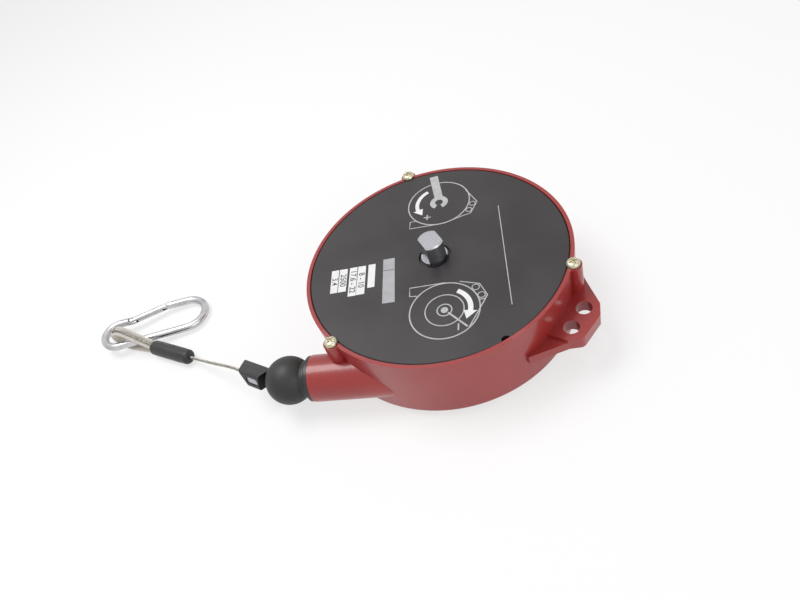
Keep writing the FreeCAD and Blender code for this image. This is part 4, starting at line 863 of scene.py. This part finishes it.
# %% Rope in the thimble's groove
ROPE_ABOVE_BAND = 1.3
EYE_ROPE_RADIUS = 1.1 * MM
eye_line = line + outward * ROPE_ABOVE_BAND
eye_path = eye_origin + eye_line[:, :1] * MM * eye_flat + eye_line[:, 1:] * MM * eye_way
eye_rope = link_piece("rope_eye_strands", *laid_strands(eye_path, EYE_ROPE_RADIUS, ROPE_LAY),
                      finishes["wire_rope"], "hook_end", "wire_rope")
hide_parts("rope_eye")
print("rope eye", len(eye_rope.data.polygons), "faces")

# %% [markdown]
# A shrink sleeve covers the ferrule.  It is a tube that was heated until it gripped, so it is a little
# wider over the ferrule than at its mouth, its lips are round and its skin is not quite even.  A closed
# profile turned about the sleeve's line gives the outside, both lips and the bore in one surface.

# %% Shrink sleeve
# Millimetres: the skin at rest and how much it swells over the ferrule, and the lips' rounds.
SKIN_RADIUS, SKIN_SWELL, SKIN_WAVE = 6.26, 0.15, 0.05
MOUTH_LIP, FAR_LIP = 3.0, 1.2
FERRULE_BORE, ROPE_BORE, BORE_STEP = 4.2, 1.65, 8.0


def shrink_sleeve(steps=72):
    """Profile (s, r) turned about the sleeve's line, with wave * sin(3a + s/4) * sin(s/5) added to r."""
    length = SLEEVE_LENGTH / MM
    lip = np.radians(np.linspace(0, 90, 8))
    body = np.linspace(MOUTH_LIP, length - FAR_LIP, 40)
    # The swell comes in from 5 to 10 mm behind the mouth and goes out again before the far lip.
    swell = SKIN_RADIUS + (SKIN_SWELL * np.clip((body - 5) / 5, 0, 1)
                           * np.clip((length - 3 - body) / 5, 0, 1))
    near = np.column_stack((MOUTH_LIP - MOUTH_LIP * np.cos(lip),
                            SKIN_RADIUS - MOUTH_LIP + MOUTH_LIP * np.sin(lip)))
    far = np.column_stack((length - FAR_LIP + FAR_LIP * np.sin(lip),
                           SKIN_RADIUS - FAR_LIP + FAR_LIP * np.cos(lip)))
    bore = np.array([(length - 0.3, FERRULE_BORE + 0.1), (BORE_STEP + 0.2, FERRULE_BORE),
                     (BORE_STEP, ROPE_BORE), (0.4, ROPE_BORE), (0.0, ROPE_BORE + 0.35)])
    profile = np.concatenate((near, np.column_stack((body, swell))[1:-1], far, bore))
    angle = np.linspace(0, 2 * math.pi, steps, endpoint=False)[:, None]
    along_sleeve, reach = profile[None, :, 0], profile[None, :, 1]
    # Only the outside waves: nothing up to a radius of 6.2 mm, and the whole wave from 6.3 mm.
    skin = np.clip(reach - 6.2, 0, 0.1) * 10
    reach = reach + SKIN_WAVE * skin * np.sin(3 * angle + along_sleeve / 4) * np.sin(along_sleeve / 5)
    upright = np.array((0.0, 0.0, 1.0))
    side = np.cross(SLEEVE_WAY, upright)
    points = (SLEEVE_MOUTH + SLEEVE_WAY * (along_sleeve * MM * np.ones_like(angle))[..., None]
              + side * (np.cos(angle) * reach * MM)[..., None]
              + upright * (np.sin(angle) * reach * MM)[..., None])
    faces = grid_faces(steps + 1, len(profile)) % (steps * len(profile))
    return points.reshape(-1, 3), faces


sleeve_skin = link_piece("shrink_sleeve", *shrink_sleeve(), finishes["black_plastic"], "hook_end",
                         slot_of["rope_sleeve"])
outward_faces(sleeve_skin)
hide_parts("rope_sleeve")
print("sleeve", len(sleeve_skin.data.polygons), "faces")

# %% [markdown]
# The snap hook is one round wire, bent cold and plated.  Its line is a belt round two circles: a small
# one that holds the thimble and a wide bow, with a straight run between them, and an open side that the
# gate closes.  A round ring carried along the line gives the wire; a flat tongue and a catch finish its
# ends.

# %% Snap hook
# Millimetres in the hook's own plane, apart from its origin and turn, which are in the frame.
HOOK_ORIGIN = np.array((-311.0, -0.2, 11.7))
HOOK_YAW, HOOK_PITCH = math.radians(14.5), math.radians(4.76)
WIRE_RADIUS, WIRE_CHAMFER, WIRE_STEP = 3.3, 0.4, 0.5
NOSE_GAP, TONGUE_GAP = 0.55, 0.3
TONGUE_HALF, CATCH_HALF = 1.3, 1.2
PIVOT, NOSE = np.array((27.5, 10.5)), np.array((57.5, 18.6))
EYE_CENTRE, EYE_RADIUS = np.array((16.8, -3.0)), 13.5
BOW_CENTRE, BOW_RADIUS = np.array((77.4, 2.6)), 16.4


def hook_place(flat):
    """(along, towards the gate, up) in mm in the hook's own plane to metres in the frame."""
    cy, sy, cp, sp = math.cos(HOOK_YAW), math.sin(HOOK_YAW), math.cos(HOOK_PITCH), math.sin(HOOK_PITCH)
    turn = np.array([[cy * cp, -sy, cy * sp], [sy * cp, cy, sy * sp], [-sp, 0, cp]])
    return (flat @ turn.T + HOOK_ORIGIN) * MM


def hook_line():
    """The belt: m is the common normal of the lower run, with m . (bow - eye) = bow radius - eye radius."""
    between = BOW_CENTRE - EYE_CENTRE
    span = np.linalg.norm(between)
    lower = math.atan2(between[1], between[0]) + math.acos((BOW_RADIUS - EYE_RADIUS) / span) + math.pi
    to_nose = NOSE - BOW_CENTRE
    upper = math.atan2(to_nose[1], to_nose[0]) - math.acos(BOW_RADIUS / np.linalg.norm(to_nose))
    start = PIVOT - (WIRE_RADIUS + TONGUE_GAP, 0)
    flat = np.concatenate((start[None], arc(EYE_CENTRE, EYE_RADIUS, 90, math.degrees(lower), 60),
                           arc(BOW_CENTRE, BOW_RADIUS, math.degrees(lower), 360 + math.degrees(upper), 80),
                           NOSE[None]))
    back = flat[-2] - NOSE
    flat[-1] += back / np.linalg.norm(back) * NOSE_GAP
    flat = np.column_stack((flat, np.zeros(len(flat))))
    return along(flat, WIRE_STEP)[0]


def round_wire(middle, radius, sides=40):
    """Point (i, a) = middle_i + radius_i (cos a normal_i + sin a up), with a small chamfer at each end."""
    way = np.gradient(middle, axis=0)
    way /= np.linalg.norm(way, axis=1)[:, None]
    normal = np.column_stack((-way[:, 1], way[:, 0], np.zeros(len(way))))
    angle = np.linspace(0, 2 * math.pi, sides, endpoint=False)[None, :, None]
    thick = np.full(len(middle), radius)
    thick[[0, -1]] = radius - WIRE_CHAMFER
    ring = (middle[:, None] + thick[:, None, None] * (np.cos(angle) * normal[:, None]
                                                      + np.sin(angle) * np.array((0.0, 0.0, 1.0))))
    count = len(middle)
    ends = np.array([np.arange(sides)[::-1], np.arange((count - 1) * sides, count * sides)])
    return ring.reshape(-1, 3), [grid_faces(count, sides), ends]


def flat_plate(outline, half):
    """An outline in the hook's plane, given a thickness of two halves."""
    count = len(outline)
    low = np.column_stack((outline, np.full(count, -half)))
    high = np.column_stack((outline, np.full(count, half)))
    index = np.arange(count)
    after = (index + 1) % count
    walls = np.column_stack((index, after, after + count, index + count))
    return np.concatenate((low, high)), [walls, np.array([index[::-1], index + count])]


tongue = np.concatenate(([PIVOT + (-4.5, 3.2), PIVOT + (-4.5, -3.2)],
                         arc(PIVOT, WIRE_RADIUS, -90, 90, 24)))
gate_way = (NOSE - PIVOT) / np.linalg.norm(NOSE - PIVOT)
gate_side = np.array((-gate_way[1], gate_way[0]))
catch = [NOSE + gate_way * x + gate_side * y
         for x, y in ((-3.9, -2.1), (1.4, -2.1), (1.4, 2.1), (-3.9, 2.1))]
flat, faces = joined((round_wire(hook_line(), WIRE_RADIUS), flat_plate(tongue, TONGUE_HALF),
                      flat_plate(catch, CATCH_HALF)))
points = hook_place(flat)
hook_wire = link_piece("hook_wire", points, faces, finishes["hook_zinc"], "hook_end", slot_of["snap_hook"],
                       [len(face) == 4 for face in faces])
outward_faces(hook_wire)
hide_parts("snap_hook")
print("hook", len(faces), "faces, from", (points.min(0) / MM).round(1), "to", (points.max(0) / MM).round(1))

# %% [markdown]
# The length of the cord that hangs free is printed. The length counts the free rope and the part in the
# sleeve.

print("cord", round(tail_length, 4), "m")
